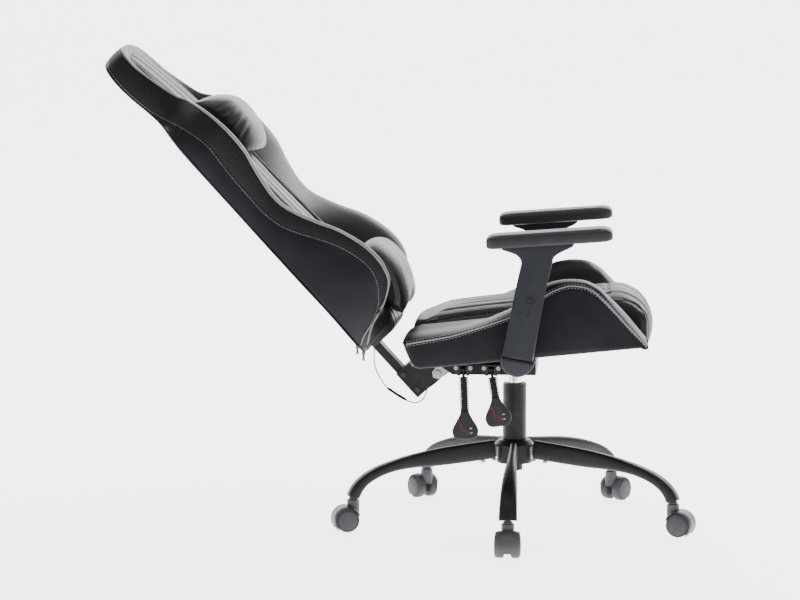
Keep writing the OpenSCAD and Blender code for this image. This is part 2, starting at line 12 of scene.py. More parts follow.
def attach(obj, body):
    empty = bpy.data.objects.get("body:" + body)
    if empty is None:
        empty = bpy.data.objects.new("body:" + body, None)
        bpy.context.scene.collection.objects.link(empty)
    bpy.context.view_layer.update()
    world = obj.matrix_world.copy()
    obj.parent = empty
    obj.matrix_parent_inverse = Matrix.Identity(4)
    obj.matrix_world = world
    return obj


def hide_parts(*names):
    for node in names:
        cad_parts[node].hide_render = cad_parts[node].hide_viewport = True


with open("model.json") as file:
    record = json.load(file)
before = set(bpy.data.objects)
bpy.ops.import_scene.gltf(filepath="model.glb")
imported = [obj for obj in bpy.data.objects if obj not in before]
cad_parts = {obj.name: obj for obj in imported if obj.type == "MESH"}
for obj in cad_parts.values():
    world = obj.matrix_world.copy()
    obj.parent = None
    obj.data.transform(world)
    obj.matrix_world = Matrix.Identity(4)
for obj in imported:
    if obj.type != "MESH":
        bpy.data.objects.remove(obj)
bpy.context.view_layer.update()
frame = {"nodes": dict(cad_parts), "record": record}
random.seed(7)

MM = 0.001
SIDES = {"right": -1, "left": 1}


# ---------------------------------------------------------------- places, in millimetres

def turned(x, z, degrees):
    """Point of the XZ plane after a turn of the given degrees, X towards Z."""
    c, s = math.cos(math.radians(degrees)), math.sin(math.radians(degrees))
    return x * c - z * s, x * s + z * c


def place(x, y, z):
    return Vector((x * MM, y * MM, z * MM))


BACK_RISE = 47.4
PIVOT = (-162, 322)


SEAT_Z, SEAT_TILT = 384, 6
ARM_X, ARM_Y, ARM_Z, ARM_LEAN = 16, 308, 392, -10
PAD_S, PAD_T, PAD_TILT = 104.5, 241, -1.8
LEVER_Y = -105
LEG_STEP = 72


def back_point(v, y, u):
    """u up along the backrest, v forward out of it."""
    x, z = turned(v, u, 90 - BACK_RISE)
    return place(PIVOT[0] + x, y, PIVOT[1] + z)


def on_side(side, row):
    """Point of a v, y, u row of the backrest, on one side of the middle."""
    return back_point(row[0], side * row[1], row[2])


def seat_point(s, y, t):
    """s forward along the seat, t up out of it."""
    x, z = turned(s, t, SEAT_TILT)
    return place(x, y, SEAT_Z + z)


def arm_point(side, x, y, z):
    """z up along the armrest's post, y towards the middle of the chair."""
    dx, dz = turned(x, z, ARM_LEAN)
    return place(ARM_X + dx, side * (ARM_Y - y), ARM_Z + dz)


def pad_point(side, x, y, z):
    """In the armrest pad's own frame, origin in its middle."""
    dx, dz = turned(x, z, PAD_TILT)
    return seat_point(PAD_S + dx, side * (ARM_Y - y), PAD_T + dz)


# x and z of the collar, and the turn of the lever
LIFT_LEVER = (-45, 342, 8.5)
RECLINE_LEVER = (-103, 342, 2)


def lever_point(lever, x, y, z):
    """z up along a lever from its collar, whose place is x, z and the lever's turn."""
    dx, dz = turned(x, z, lever[2])
    return place(lever[0] + dx, y + LEVER_Y, lever[1] + dz)


def leg_point(i, r, w, z):
    """r out along leg i, w across it."""
    a = math.radians(-90 + LEG_STEP * (i - 1))
    return place(r * math.cos(a) - w * math.sin(a), r * math.sin(a) + w * math.cos(a), z)


# ---------------------------------------------------------------- curves

def spline(points, steps, loop=False):
    """Catmull-Rom curve through the rows of a table, with steps samples to a row."""
    p = np.array(points, float)
    n = len(p)
    out = []
    for k in range(n if loop else n - 1):
        if loop:
            a, b, c, d = p[(k - 1) % n], p[k], p[(k + 1) % n], p[(k + 2) % n]
        else:
            a, b, c, d = p[max(k - 1, 0)], p[k], p[k + 1], p[min(k + 2, n - 1)]
        for j in range(steps):
            t = j / steps
            out.append(0.5 * (2 * b + (c - a) * t + (2 * a - 5 * b + 4 * c - d) * t * t
                              + (3 * b - a - 3 * c + d) * t ** 3))
    if not loop:
        out.append(p[-1])
    return np.array(out)


def evenly(points, step=None, count=None, loop=False):
    """The same line, sampled at even distances."""
    p = np.array([list(q) for q in points], float)
    if loop:
        p = np.vstack([p, p[:1]])
    run = np.concatenate([[0], np.cumsum(np.linalg.norm(np.diff(p, axis=0), axis=1))])
    count = count or max(2, round(run[-1] / step) + 1)
    at = np.linspace(0, run[-1], count, endpoint=not loop)
    return np.stack([np.interp(at, run, p[:, i]) for i in range(p.shape[1])], axis=1)


def table(rows, x):
    """Value at x of a table of (x, value) rows."""
    a = np.array(rows, float)
    return float(np.interp(x, a[:, 0], a[:, 1]))


def bell(x, width):
    return math.exp(-(x / width) ** 2)


# ---------------------------------------------------------------- meshes

def piece(name, verts, faces, finish, body, smooth=True, uv=None):
    mesh = bpy.data.meshes.new(name)
    mesh.from_pydata([tuple(v) for v in verts], [], faces)
    if uv is not None:
        layer = mesh.uv_layers.new(name="cloth")
        for loop in mesh.loops:
            layer.data[loop.index].uv = uv[loop.vertex_index]
    bm = bmesh.new()
    bm.from_mesh(mesh)
    bmesh.ops.recalc_face_normals(bm, faces=bm.faces)
    bm.to_mesh(mesh)
    bm.free()
    for polygon in mesh.polygons:
        polygon.use_smooth = smooth
    ob = bpy.data.objects.new(name, mesh)
    bpy.context.scene.collection.objects.link(ob)
    mesh.materials.append(finish)
    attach(ob, body)
    return ob


def angles(count, start=0):
    """Even angles round a circle, the first of them start steps on."""
    return [2 * math.pi * (i + start) / count for i in range(count)]


def handed(side, rings):
    """Rings, turned end for end on the left, so that both sides are built alike."""
    return rings if side < 0 else rings[::-1]


def modify(ob, kind, **values):
    mod = ob.modifiers.new(kind.lower(), kind)
    for key, value in values.items():
        setattr(mod, key, value)
    return mod


def bevel(ob, width, angle, segments=2):
    """Eases edges sharper than angle, in degrees."""
    modify(ob, "BEVEL", width=width, segments=segments, limit_method="ANGLE",
           angle_limit=math.radians(angle))


def skin(rings, ring_loop=True, line_loop=False):
    """Vertices and faces over rings with equal numbers of points."""
    m, n = len(rings), len(rings[0])
    verts = [tuple(p) for ring in rings for p in ring]
    faces = []
    for j in range(m if line_loop else m - 1):
        for i in range(n if ring_loop else n - 1):
            a, b = j * n + i, j * n + (i + 1) % n
            c, d = ((j + 1) % m) * n + (i + 1) % n, ((j + 1) % m) * n + i
            faces.append((a, b, c, d))
    if ring_loop and not line_loop:
        faces.append(tuple(range(n - 1, -1, -1)))
        faces.append(tuple((m - 1) * n + i for i in range(n)))
    return verts, faces


def loft(name, rings, finish, body, line_loop=False, smooth=True):
    verts, faces = skin(rings, line_loop=line_loop)
    return piece(name, verts, faces, finish, body, smooth)


def tube_rings(line, radius, sides, loop=False):
    """Round rings along a line, each square to it, turning as little as they can."""
    p = [Vector(q) for q in line]
    n = len(p)
    rings = []
    normal = None
    for k in range(n):
        ahead = p[(k + 1) % n] if loop else p[min(k + 1, n - 1)]
        behind = p[(k - 1) % n] if loop else p[max(k - 1, 0)]
        d = (ahead - behind).normalized()
        if normal is None:
            normal = Vector((0, 0, 1)) if abs(d.z) < 0.8 else Vector((1, 0, 0))
        normal = (normal - d * normal.dot(d)).normalized()
        across = d.cross(normal)
        r = radius[k] if hasattr(radius, "__len__") else radius
        rings.append([p[k] + (normal * math.sin(a) + across * math.cos(a)) * r for a in angles(sides, 0.5)])
    return rings


def tube(name, line, radius, finish, body, sides=8, loop=False):
    rings = tube_rings(line, radius, sides, loop)
    return loft(name, rings, finish, body, line_loop=loop)


def stitches(name, lines, finish, body, radius=0.00045):
    """Rows of thread stitches along lines."""
    length, gap = 0.0045, 0.0022
    verts, faces = [], []
    for line in lines:
        run = evenly(line, step=length + gap)
        for k in range(len(run) - 1):
            a, b = Vector(run[k]), Vector(run[k + 1])
            b = a + (b - a) * (length / (length + gap))
            ends = [a, a + (b - a) * 0.18, a + (b - a) * 0.82, b]
            rings = tube_rings(ends, [radius * 0.35, radius, radius, radius * 0.35], 6)
            v, f = skin(rings)
            faces += [tuple(i + len(verts) for i in g) for g in f]
            verts += v
    return piece(name, verts, faces, finish, body)


def merged(name, parts, finish, body, smooth=True):
    """One piece from several (verts, faces) lists."""
    verts, faces = [], []
    for v, f in parts:
        faces += [tuple(i + len(verts) for i in g) for g in f]
        verts += [tuple(q) for q in v]
    return piece(name, verts, faces, finish, body, smooth)


# ---------------------------------------------------------------- materials

class Finish:
    """A procedural material: node helpers round one Principled shader."""

    def __init__(self, name, rough=0.5, metal=0.0, **sockets):
        self.material = bpy.data.materials.new(name)
        self.material.use_nodes = True
        self.tree = self.material.node_tree
        self.shader = self.tree.nodes["Principled BSDF"]
        self.shader.inputs["Roughness"].default_value = rough
        self.shader.inputs["Metallic"].default_value = metal
        if not metal:
            self.shader.inputs["Specular Tint"].default_value = (0.36, 0.36, 0.37, 1)
        for key, value in sockets.items():
            self.shader.inputs[key.replace("_", " ")].default_value = value
        self.place = self.tree.nodes.new("ShaderNodeTexCoord").outputs["Object"]
        self.normal = None

    def node(self, kind, inputs, out=0, **settings):
        node = self.tree.nodes.new("ShaderNode" + kind)
        for key, value in settings.items():
            setattr(node, key, value)
        for key, value in inputs.items():
            if isinstance(value, bpy.types.NodeSocket):
                self.tree.links.new(value, node.inputs[key])
            else:
                node.inputs[key].default_value = value
        return node.outputs[out]

    def noise(self, scale, detail):
        return self.node("TexNoise", {"Vector": self.place, "Scale": scale, "Detail": detail})

    def math(self, operation, a, b=0.0):
        return self.node("Math", {0: a, 1: b}, operation=operation)

    def blend(self, amount, a, b):
        """Colour from a to b."""
        mix = self.tree.nodes.new("ShaderNodeMix")
        mix.data_type = "RGBA"
        self.tree.links.new(amount, mix.inputs[0])
        for socket, value in ((mix.inputs[6], a), (mix.inputs[7], b)):
            if isinstance(value, bpy.types.NodeSocket):
                self.tree.links.new(value, socket)
            else:
                socket.default_value = (*value, 1)
        return mix.outputs[2]

    def ranged(self, value, low, high, start=0.3, end=0.7):
        return self.node("MapRange", {"Value": value, "From Min": start, "From Max": end, "To Min": low,
                                      "To Max": high})

    def colour(self, value):
        self.tree.links.new(value, self.shader.inputs["Base Color"])

    def roughness(self, value):
        self.tree.links.new(value, self.shader.inputs["Roughness"])

    def bump(self, height, distance, strength):
        inputs = {"Height": height, "Distance": distance, "Strength": strength}
        if self.normal is not None:
            inputs["Normal"] = self.normal
        self.normal = self.node("Bump", inputs)
        self.tree.links.new(self.normal, self.shader.inputs["Normal"])

    def wear(self, base, worn, reach=0.5):
        """Lighter where edges are rubbed."""
        edge = self.node("NewGeometry", {}, out=7)
        rubbed = self.ranged(edge, 0, reach, 0.52, 0.62)
        patch = self.ranged(self.noise(60, 4), 0, 1, 0.42, 0.6)
        return self.blend(self.math("MULTIPLY", rubbed, patch), base, worn)


def leather(name, dark, light, rough, grain=900, **sockets):
    f = Finish(name, Specular_Tint=(0.17, 0.17, 0.18, 1), **sockets)
    f.colour(f.blend(f.ranged(f.noise(14, 4), 0, 1), dark, light))
    f.roughness(f.ranged(f.noise(220, 3), rough - 0.05, rough + 0.07))
    cells = f.node("TexVoronoi", {"Vector": f.place, "Scale": grain}, feature="SMOOTH_F1")
    f.bump(cells, 0.00025, 0.35)
    f.bump(f.noise(55, 3), 0.0008, 0.12)
    return f.material


def weave(name, dark, light, pitch, column=0.006):
    """Herringbone weave from the cloth map, which is in metres."""
    f = Finish(name, rough=0.55, Specular_IOR_Level=0.3)
    cloth = f.node("UVMap", {}, uv_map="cloth")
    split = f.tree.nodes.new("ShaderNodeSeparateXYZ")
    f.tree.links.new(cloth, split.inputs[0])
    zig = f.node("Math", {0: split.outputs[1], 1: column}, operation="PINGPONG")
    along = f.math("ADD", split.outputs[0], zig)
    wave = f.math("SINE", f.math("MULTIPLY", along, 2 * math.pi / pitch))
    cross = f.math("SINE", f.math("MULTIPLY", split.outputs[1], 2 * math.pi / pitch * 1.6))
    height = f.math("ADD", wave, f.math("MULTIPLY", cross, 0.35))
    spread = f.ranged(height, 0, 1, -0.6, 1.0)
    patch = f.ranged(f.noise(30, 3), 0.75, 1.0)
    f.colour(f.blend(f.math("MULTIPLY", spread, patch), dark, light))
    f.bump(height, 0.0005, 0.6)
    return f.material


def plastic(name, colour, rough, grain=1400, lift=1.35, bump=0.25):
    f = Finish(name)
    light = tuple(c * lift for c in colour)
    f.colour(f.wear(f.blend(f.ranged(f.noise(25, 3), 0, 1), colour, light),
                    tuple(c * 2.2 for c in colour), 0.35))
    f.roughness(f.ranged(f.noise(180, 3), rough - 0.05, rough + 0.08))
    f.bump(f.noise(grain, 2), 0.0002, bump)
    return f.material


def metal(name, colour, rough, brushed=0.0):
    f = Finish(name, metal=1.0)
    light = tuple(min(1, c * 1.1) for c in colour)
    f.colour(f.blend(f.ranged(f.noise(40, 4), 0, 1), colour, light))
    f.roughness(f.ranged(f.noise(160, 4), rough, rough + 0.1))
    if brushed:
        f.bump(f.noise(700, 2), 0.0001, brushed)
    return f.material


def powder_coat(name, colour, rough):
    f = Finish(name, Specular_IOR_Level=0.4)
    light = tuple(c * 1.4 for c in colour)
    f.colour(f.wear(f.blend(f.ranged(f.noise(20, 3), 0, 1), colour, light),
                    tuple(c * 3 for c in colour), 0.3))
    f.roughness(f.ranged(f.noise(120, 3), rough - 0.04, rough + 0.08))
    f.bump(f.noise(1100, 2), 0.00018, 0.4)
    return f.material


def webbing(name, dark, light):
    f = Finish(name, rough=0.8, Sheen_Weight=0.2)
    ribs = f.node("TexWave", {"Vector": f.place, "Scale": 320.0, "Distortion": 0.6}, out=1,
                  bands_direction="Y")
    f.colour(f.blend(ribs, dark, light))
    f.bump(ribs, 0.0003, 0.6)
    return f.material


def thread(name, colour):
    f = Finish(name, rough=0.6, Sheen_Weight=0.2)
    dark = tuple(c * 0.7 for c in colour)
    f.colour(f.blend(f.ranged(f.noise(300, 2), 0, 1), dark, colour))
    f.bump(f.noise(2500, 2), 0.0002, 0.4)
    return f.material


LEATHER = leather("black_leather", (0.0085, 0.0088, 0.0104), (0.0135, 0.014, 0.0165), 0.42,
                  Specular_IOR_Level=0.4)
# Charcoal leather of the backrest's middle panel, the seat cushion and the lumbar pillow. It is lighter
# than the black leather partly in its own greyer tone and partly as painted light: the light from above and
# in front on these faces.
PAINTED_LIT_PANEL = leather("panel_leather_painted_lit", (0.014, 0.014, 0.0158), (0.021, 0.021, 0.0235), 0.44,
                Specular_IOR_Level=0.45)
PILLOW = leather("pillow_leather", (0.009, 0.0095, 0.011), (0.015, 0.0155, 0.0175), 0.40,
                 Specular_IOR_Level=0.4)
BAND = weave("weave_band", (0.0015, 0.0015, 0.002), (0.024, 0.025, 0.029), 0.0050, column=0.0075)
GUSSET = weave("gusset_weave", (0.02, 0.02, 0.022), (0.13, 0.13, 0.14), 0.0036)
PIPING = leather("piping", (0.15, 0.15, 0.16), (0.22, 0.22, 0.23), 0.35, grain=1500)
SEAM = leather("seam_piping", (0.010, 0.010, 0.012), (0.02, 0.02, 0.023), 0.4, grain=1500)
THREAD = thread("light_thread", (0.30, 0.30, 0.31))
STEEL = powder_coat("black_steel", (0.008, 0.008, 0.009), 0.42)
SCREW = metal("screw_steel", (0.22, 0.22, 0.23), 0.32, 0.2)
BOLT = metal("black_oxide", (0.035, 0.035, 0.038), 0.35, 0.2)
CHROME = metal("chrome", (0.80, 0.81, 0.83), 0.06)
BRASS = metal("brass", (0.60, 0.44, 0.16), 0.25)
ZINC = metal("zinc_plate", (0.30, 0.30, 0.31), 0.36, 0.3)
BLACK_PLASTIC = plastic("black_plastic", (0.010, 0.010, 0.011), 0.42)
NYLON = plastic("caster_nylon", (0.045, 0.046, 0.050), 0.42)
TREAD = plastic("caster_tread", (0.034, 0.035, 0.038), 0.46)
RUBBER = plastic("sleeve_rubber", (0.012, 0.012, 0.013), 0.34)
ARM = plastic("arm_plastic", (0.014, 0.0155, 0.0195), 0.50, lift=1.15)
COVER = plastic("arm_cover_plastic", (0.020, 0.021, 0.025), 0.5, lift=1.15)
PAD = plastic("pad_polyurethane", (0.018, 0.018, 0.021), 0.5, grain=700, bump=0.4)
BOARD = plastic("pan_board", (0.012, 0.012, 0.012), 0.75, grain=500)
STRAP = webbing("elastic_webbing", (0.006, 0.006, 0.007), (0.035, 0.035, 0.038))
ZIP = metal("zip_metal", (0.16, 0.16, 0.17), 0.30, 0.2)
CORD = plastic("cord_sheath", (0.005, 0.005, 0.005), 0.7)
RED_MARK = plastic("red_mark", (0.20, 0.012, 0.014), 0.45, lift=1.1)
PALE_MARK = plastic("pale_mark", (0.45, 0.45, 0.46), 0.45, lift=1.05)

SLOT_FINISH = {
    "steel_black": STEEL, "fastener": SCREW, "chrome": CHROME, "brass": BRASS,
    "black_plastic": BLACK_PLASTIC, "caster_nylon": NYLON, "sleeve_rubber": RUBBER, "arm_plastic": ARM,
    "arm_pad_pu": PAD, "pan_board": BOARD, "leather_black": LEATHER, "leather_panel": PAINTED_LIT_PANEL,
    "pillow_leather": PILLOW, "weave_band": BAND, "piping_grey": PIPING, "strap_elastic": STRAP,
    "zip_metal": ZIP, "cord_black": CORD,
}
NODE_FINISH = {"recline_ears": ZINC, "recline_pin": ZINC, "clamp_bolts": BOLT, "caster_stems": BOLT,
               "lift_lever_rod": STEEL, "recline_lever_rod": STEEL}
# nodes of the CAD whose edges are eased
EASED = ("base_hub", "column_tube", "mechanism_tray", "recline_ears", "back_bracket", "back_spine",
         "lever_collars", "caster_hood", "mechanism_bolts", "clamp_bolts", "leg_bolts", "arm_bracket",
         "recline_pin")


def finish_cad_nodes():
    slots = {row["node"]: row["material_slot"] for row in frame["record"]["subparts"]}
    for name, ob in frame["nodes"].items():
        finish = NODE_FINISH.get(name, SLOT_FINISH[slots[name]])
        ob.data.materials.clear()
        ob.data.materials.append(finish)
        for polygon in ob.data.polygons:
            polygon.material_index = 0
        if name.startswith(EASED):
            bevel(ob, 0.0007, 40)


# ---------------------------------------------------------------- camera, light, floor

def look(name, position, yaw, pitch):
    """Turns a new camera from +Y by yaw towards -X, and down by pitch."""
    data = bpy.data.cameras.new(name)
    data.lens = 116.1
    data.sensor_width = 36
    ob = bpy.data.objects.new(name, data)
    bpy.context.scene.collection.objects.link(ob)
    ob.location = position
    ob.rotation_euler = (math.radians(90 - pitch), 0, math.radians(yaw))
    bpy.context.scene.camera = ob


def softbox(name, position, target, size, power):
    data = bpy.data.lights.new(name, "AREA")
    data.shape = "RECTANGLE"
    data.size, data.size_y = size
    data.energy = power
    ob = bpy.data.objects.new(name, data)
    bpy.context.scene.collection.objects.link(ob)
    ob.location = position
    ob.rotation_euler = (Vector(target) - Vector(position)).to_track_quat("-Z", "Y").to_euler()


def studio():
    softbox("top_light", (0.1, -0.3, 3.4), (0, 0, 0.4), (3.2, 3.2), 58)
    softbox("front_light", (2.2, -4.2, 2.4), (0, 0, 0.5), (2.2, 2.2), 44)
    softbox("side_light", (-3.0, -2.8, 1.6), (-0.2, 0, 0.5), (1.6, 2.4), 22)
    softbox("rim_light", (1.6, 3.4, 2.6), (0, 0, 0.6), (2.4, 1.6), 45)
    world = bpy.data.worlds.new("studio")
    bpy.context.scene.world = world
    world.use_nodes = True
    world.node_tree.nodes["Background"].inputs[0].default_value = (1, 1, 1, 1)
    world.node_tree.nodes["Background"].inputs[1].default_value = 0.2
    profile = [(-7, 0)] + [(5 + 3 * math.sin(a), 3 - 3 * math.cos(a))
                           for a in np.linspace(0, math.pi / 2, 12)] + [(8, 9)]
    f = Finish("backdrop", rough=0.9)
    f.colour(f.blend(f.noise(1.5, 2), (0.90, 0.90, 0.90), (0.93, 0.93, 0.93)))
    f.shader.inputs["Emission Color"].default_value = (1, 1, 1, 1)
    split = f.tree.nodes.new("ShaderNodeSeparateXYZ")
    f.tree.links.new(f.place, split.inputs[0])
    glow = f.ranged(split.outputs[1], 0.15, 3.6, -2.4, -1.1)
    f.tree.links.new(glow, f.shader.inputs["Emission Strength"])
    rings = [[(x, y, z) for y, z in profile] for x in (-9, 9)]
    verts, faces = skin(rings, ring_loop=False)
    mesh = bpy.data.meshes.new("backdrop")
    mesh.from_pydata(verts, [], faces)
    for polygon in mesh.polygons:
        polygon.use_smooth = True
    mesh.materials.append(f.material)
    ob = bpy.data.objects.new("backdrop", mesh)
    bpy.context.scene.collection.objects.link(ob)


# ---------------------------------------------------------------- cord

CORD_ROUTE = [
    (-292, -40, 390), (-294, -40, 378), (-295, -40, 362), (-294, -40, 345), (-289, -41, 327),
    (-280, -42, 311), (-267, -43, 293), (-246, -43, 279), (-226, -42, 267), (-210, -37, 261),
    (-197, -30, 264), (-189, -22, 273), (-185, -16, 288),
]


def lay_cord():
    line = [place(*p) for p in spline(CORD_ROUTE, 5)]
    flex = tube("retaining_cord", line, 0.0012, CORD, "back", sides=10)
    joiner_line = [place(*p) for p in spline(CORD_ROUTE[6:9], 5)]
    run = len(joiner_line) - 1
    radii = [0.003 * min(1, 0.62 + 3 * min(k, run - k) / run) for k in range(run + 1)]
    joiner = tube("cord_sleeve", joiner_line, radii, CORD, "back", sides=14)
    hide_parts("cord")
    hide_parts("cord_joiner")


# ---------------------------------------------------------------- backrest

HALF_BACK = [
    (138, 150), (146, 186), (176, 222), (222, 246), (280, 256), (340, 256), (420, 250), (500, 248),
    (560, 254), (636, 265), (680, 265), (716, 250), (745, 215), (772, 170), (800, 152), (840, 150),
    (892, 146), (925, 128), (946, 80),
]
OUTLINE = spline(HALF_BACK, 6)


def half_back(u):
    """Half the width of the backrest at height u."""
    return float(np.interp(u, OUTLINE[:, 0], OUTLINE[:, 1]))


# Rows round the edge, from the lower corner over wing, shoulder and head to the middle of the head's end:
# depth and height of the band's front edge, of its rear edge, and of the rear cover's edge
EDGE_ROWS = [
    (-44, 150, -48, 148, -62, 141), (-22, 164, -28, 163, -60, 147), (2, 176, -5, 175, -58, 155),
    (24, 183, 16, 184, -57, 166), (42, 189, 34, 193, -55, 180), (65, 202, 53, 211, -53, 196),
    (84, 218, 66, 228, -51, 215), (94, 242, 74, 248, -49.5, 238), (98, 272, 77, 270, -48.5, 266),
    (94, 309, 72, 300, -48.5, 300), (79, 358, 58, 340, -49, 342), (56, 402, 36, 380, -49.5, 386),
    (36, 445, 12, 420, -50, 424), (26, 480, -2, 454, -50, 458), (26, 514, -8, 493, -50, 497),
    (35, 562, -7, 540, -49, 543), (46, 604, -5, 585, -48, 587), (49, 650, 0, 632, -46.5, 633),
    (46, 690, 2, 667, -45, 668), (36, 730, -7, 706, -45.5, 706), (19, 767, -21, 738, -48, 740),
    (5, 790, -37, 766, -53, 768), (-6, 830, -52, 803, -60, 806), (-16, 876, -60, 852, -66.5, 853),
]
HEAD_ROWS = [  # the same, with the half width of each edge in front
    (143, 146, 144, -19, 905, -62, 893, -69, 893), (124, 130, 128, -20, 930, -61, 924, -68, 925),
    (94, 98, 96, -19, 943, -59, 942, -66, 942), (52, 54, 53, -18, 949, -58, 950, -64, 949),
    (0, 0, 0, -17, 951, -57, 952, -63, 951),
]
EDGE_STEPS = 8


def edge_curves():
    """Front edge, rear edge and cover edge of the right side, as rows of v, y, u."""
    rows = []
    for fv, fu, rv, ru, cv, cu in EDGE_ROWS:
        rows.append((fv, half_back(fu) - 4, fu, rv, half_back(ru), ru, cv, half_back(cu) - 3, cu))
    for fy, ry, cy, fv, fu, rv, ru, cv, cu in HEAD_ROWS:
        rows.append((fv, fy, fu, rv, ry, ru, cv, cy, cu))
    curve = spline(rows, EDGE_STEPS)
    return curve[:, 0:3], curve[:, 3:6], curve[:, 6:9]


FRONT_EDGE, REAR_EDGE, COVER_EDGE = edge_curves()
STATIONS = len(FRONT_EDGE)

PANEL_FACE = spline([
    (132, 0), (137, 13), (150, 22), (175, 27), (230, 28), (300, 22), (400, 16), (500, 11), (600, 9),
    (700, 4), (780, -2), (830, -8), (876, -14), (916, -20), (930, -24),
], 6)
PANEL_EDGE = [(130, 130), (150, 134), (740, 134), (800, 122), (870, 116), (900, 108), (915, 92),
              (925, 60), (929, 0)]


def panel_face(u):
    return float(np.interp(u, PANEL_FACE[:, 0], PANEL_FACE[:, 1]))


def junction(k):
    """Where the bolster meets the middle panel, at station k."""
    row = k / EDGE_STEPS
    u = FRONT_EDGE[k][2]
    if row <= 5:
        u = 150 + (FRONT_EDGE[k][2] - 150) * 0.9
    last = len(EDGE_ROWS) - 1
    if row >= last:
        rows = [(118, 868), (112, 893), (98, 911), (74, 921), (40, 927), (0, 929)]
        t = min(row - last, 4.999)
        a, b = rows[int(t)], rows[int(t) + 1]
        y = a[0] + (b[0] - a[0]) * (t - int(t))
        u = a[1] + (b[1] - a[1]) * (t - int(t))
    else:
        y = table([(0, 134), (740, 134), (800, 124), (880, 118)], u)
        u = min(u, u - (u - 800) * 0.12) if u > 800 else u
    return np.array([panel_face(u) - 3, y, u])


def swell(side, v, y, u, size):
    """Slow unevenness of stretched upholstery."""
    return size * noise.noise(Vector((v * 0.013 + 3 * side, y * 0.013, u * 0.013)))


def bolster_ring(side, k):
    """Closed cross-section of a bolster: side, band's bed, crest, inner slope, back."""
    front, rear, cover = FRONT_EDGE[k], REAR_EDGE[k], COVER_EDGE[k]
    inner = junction(k)
    ring = []
    width = np.linalg.norm(rear - cover)
    for i in range(14):
        p = i / 14
        v, y, u = cover + (rear - cover) * p
        y += (0.035 * width + 1.5 * min(1, width / 20)) * 4 * p * (1 - p) + swell(side, v, y, u, 1.2)
        gather = bell(u - 728, 26) * bell(p - 0.97, 0.3) * 1.6 * math.sin(u * 0.42)
        ring.append((v, y + gather, u))
    for i in range(5):
        ring.append(tuple(rear + (front - rear) * (i / 5)))
    drop, wide = front[0] - inner[0], front[1] - inner[1]
    rise = inner[2] - front[2]
    top = spline([
        (front[0], front[1], front[2]),
        (front[0] + min(4, 1.5 + 0.02 * abs(wide)), front[1] - min(13, 0.16 * wide),
         front[2] + 0.05 * rise),
        (front[0] - 0.08 * drop + 2, front[1] - 0.34 * wide, front[2] + 0.25 * rise),
        (front[0] - 0.45 * drop + 1, front[1] - 0.66 * wide, front[2] + 0.6 * rise),
        (front[0] - 0.86 * drop + 1, front[1] - 0.92 * wide, front[2] + 0.9 * rise),
        tuple(inner),
    ], 4)
    for v, y, u in top[:-1]:
        ring.append((v + swell(side, v, y, u, 1.5), y, u))
    ring.append(tuple(inner))
    ring.append((inner[0] * 0.4 - 26, inner[1] - 1, inner[2]))
    ring.append((-44, inner[1] - 1, inner[2]))
    low = (-46 - 4 * min(1, width / 20), max(cover[1] - 8, inner[1] * 0.97),
           cover[2] + (inner[2] - cover[2]) * 0.15)
    ring.append(low)
    return [back_point(v, side * y, u) for v, y, u in ring]


def round_edge(curve, start, lift, out):
    """Line from row start up the right side, over the head and down the left side."""
    rows = curve[start * EDGE_STEPS:]
    right, left = [[back_point(v + lift, side * (y + out), u) for v, y, u in rows] for side in (-1, 1)]
    return right + left[::-1][1:]


def side_band():
    """Woven gusset, its cloth map in metres along and across."""
    across = 9
    first = 3 * EDGE_STEPS
    verts, uv = [], []
    order = [(-1, k) for k in range(first, STATIONS)] + [(1, k) for k in range(STATIONS - 2, first - 1, -1)]
    run = 0.0
    before = None
    for side, k in order:
        front, rear = FRONT_EDGE[k], REAR_EDGE[k]
        middle = on_side(side, (front + rear) / 2)
        run += (middle - before).length if before is not None else 0
        before = middle
        width = np.linalg.norm(front - rear)
        for i in range(across):
            p = i / (across - 1)
            v, y, u = rear + (front - rear) * p
            bulge = 1.0 + 0.07 * width * 4 * p * (1 - p)
            head = max(0.0, (k / EDGE_STEPS - 23.5) / 4.5)
            verts.append(back_point(v, side * (y + bulge * (1 - head)), u + bulge * min(1, head * 1.3)))
            uv.append((run, width * MM * p))
    faces = []
    for j in range(len(order) - 1):
        for i in range(across - 1):
            a = j * across + i
            faces.append((a, a + 1, a + across + 1, a + across))
    low = {a + i for a in range(0, len(verts), across) for i in range(across)
           if FRONT_EDGE[order[a // across][1]][2] < 186 and order[a // across][1] < 12 * EDGE_STEPS}
    woven = [f for f in faces if not all(i in low for i in f)]
    band = piece("weave_band", verts, woven, BAND, "back", uv=uv)
    modify(band, "SOLIDIFY", thickness=0.0016, offset=-1)
    flap = piece("wing_flaps", verts, [f for f in faces if all(i in low for i in f)], LEATHER, "back",
                 uv=uv)
    modify(flap, "SOLIDIFY", thickness=0.0016, offset=-1)


CHANNELS = (-90, -30, 30, 90)  # sewn grooves, across from the middle


def middle_panel():
    """Front of the backrest between the bolsters, with sewn channels along it."""
    rows = evenly([(u, 0) for u in (134, 929)], count=150)
    columns = 91
    rings = []
    for u, _ in rows:
        half = table(PANEL_EDGE, u) + 1.5
        line = []
        for i in range(columns):
            q = 2 * i / (columns - 1) - 1
            y = q * half
            v = panel_face(u)
            v += 3 * (1 - q * q) - 6 * max(0, abs(q) - 0.9) / 0.1
            for groove in CHANNELS:
                fade = min(1, max(0, (half - abs(groove)) / 12))
                v -= 3.2 * bell(y - groove, 5) * fade
            v += swell(2, v, y, u, 1.4)
            line.append((v, y, u))
        line = [(-46, -half, u)] + [(p[0] * 0.5 - 22, p[1], p[2]) for p in line[:1]] + line
        line = line + [(p[0] * 0.5 - 22, p[1], p[2]) for p in line[-1:]] + [(-46, half, u)]
        rings.append([back_point(*p) for p in line])
    return loft("back_panel", rings, PAINTED_LIT_PANEL, "back")


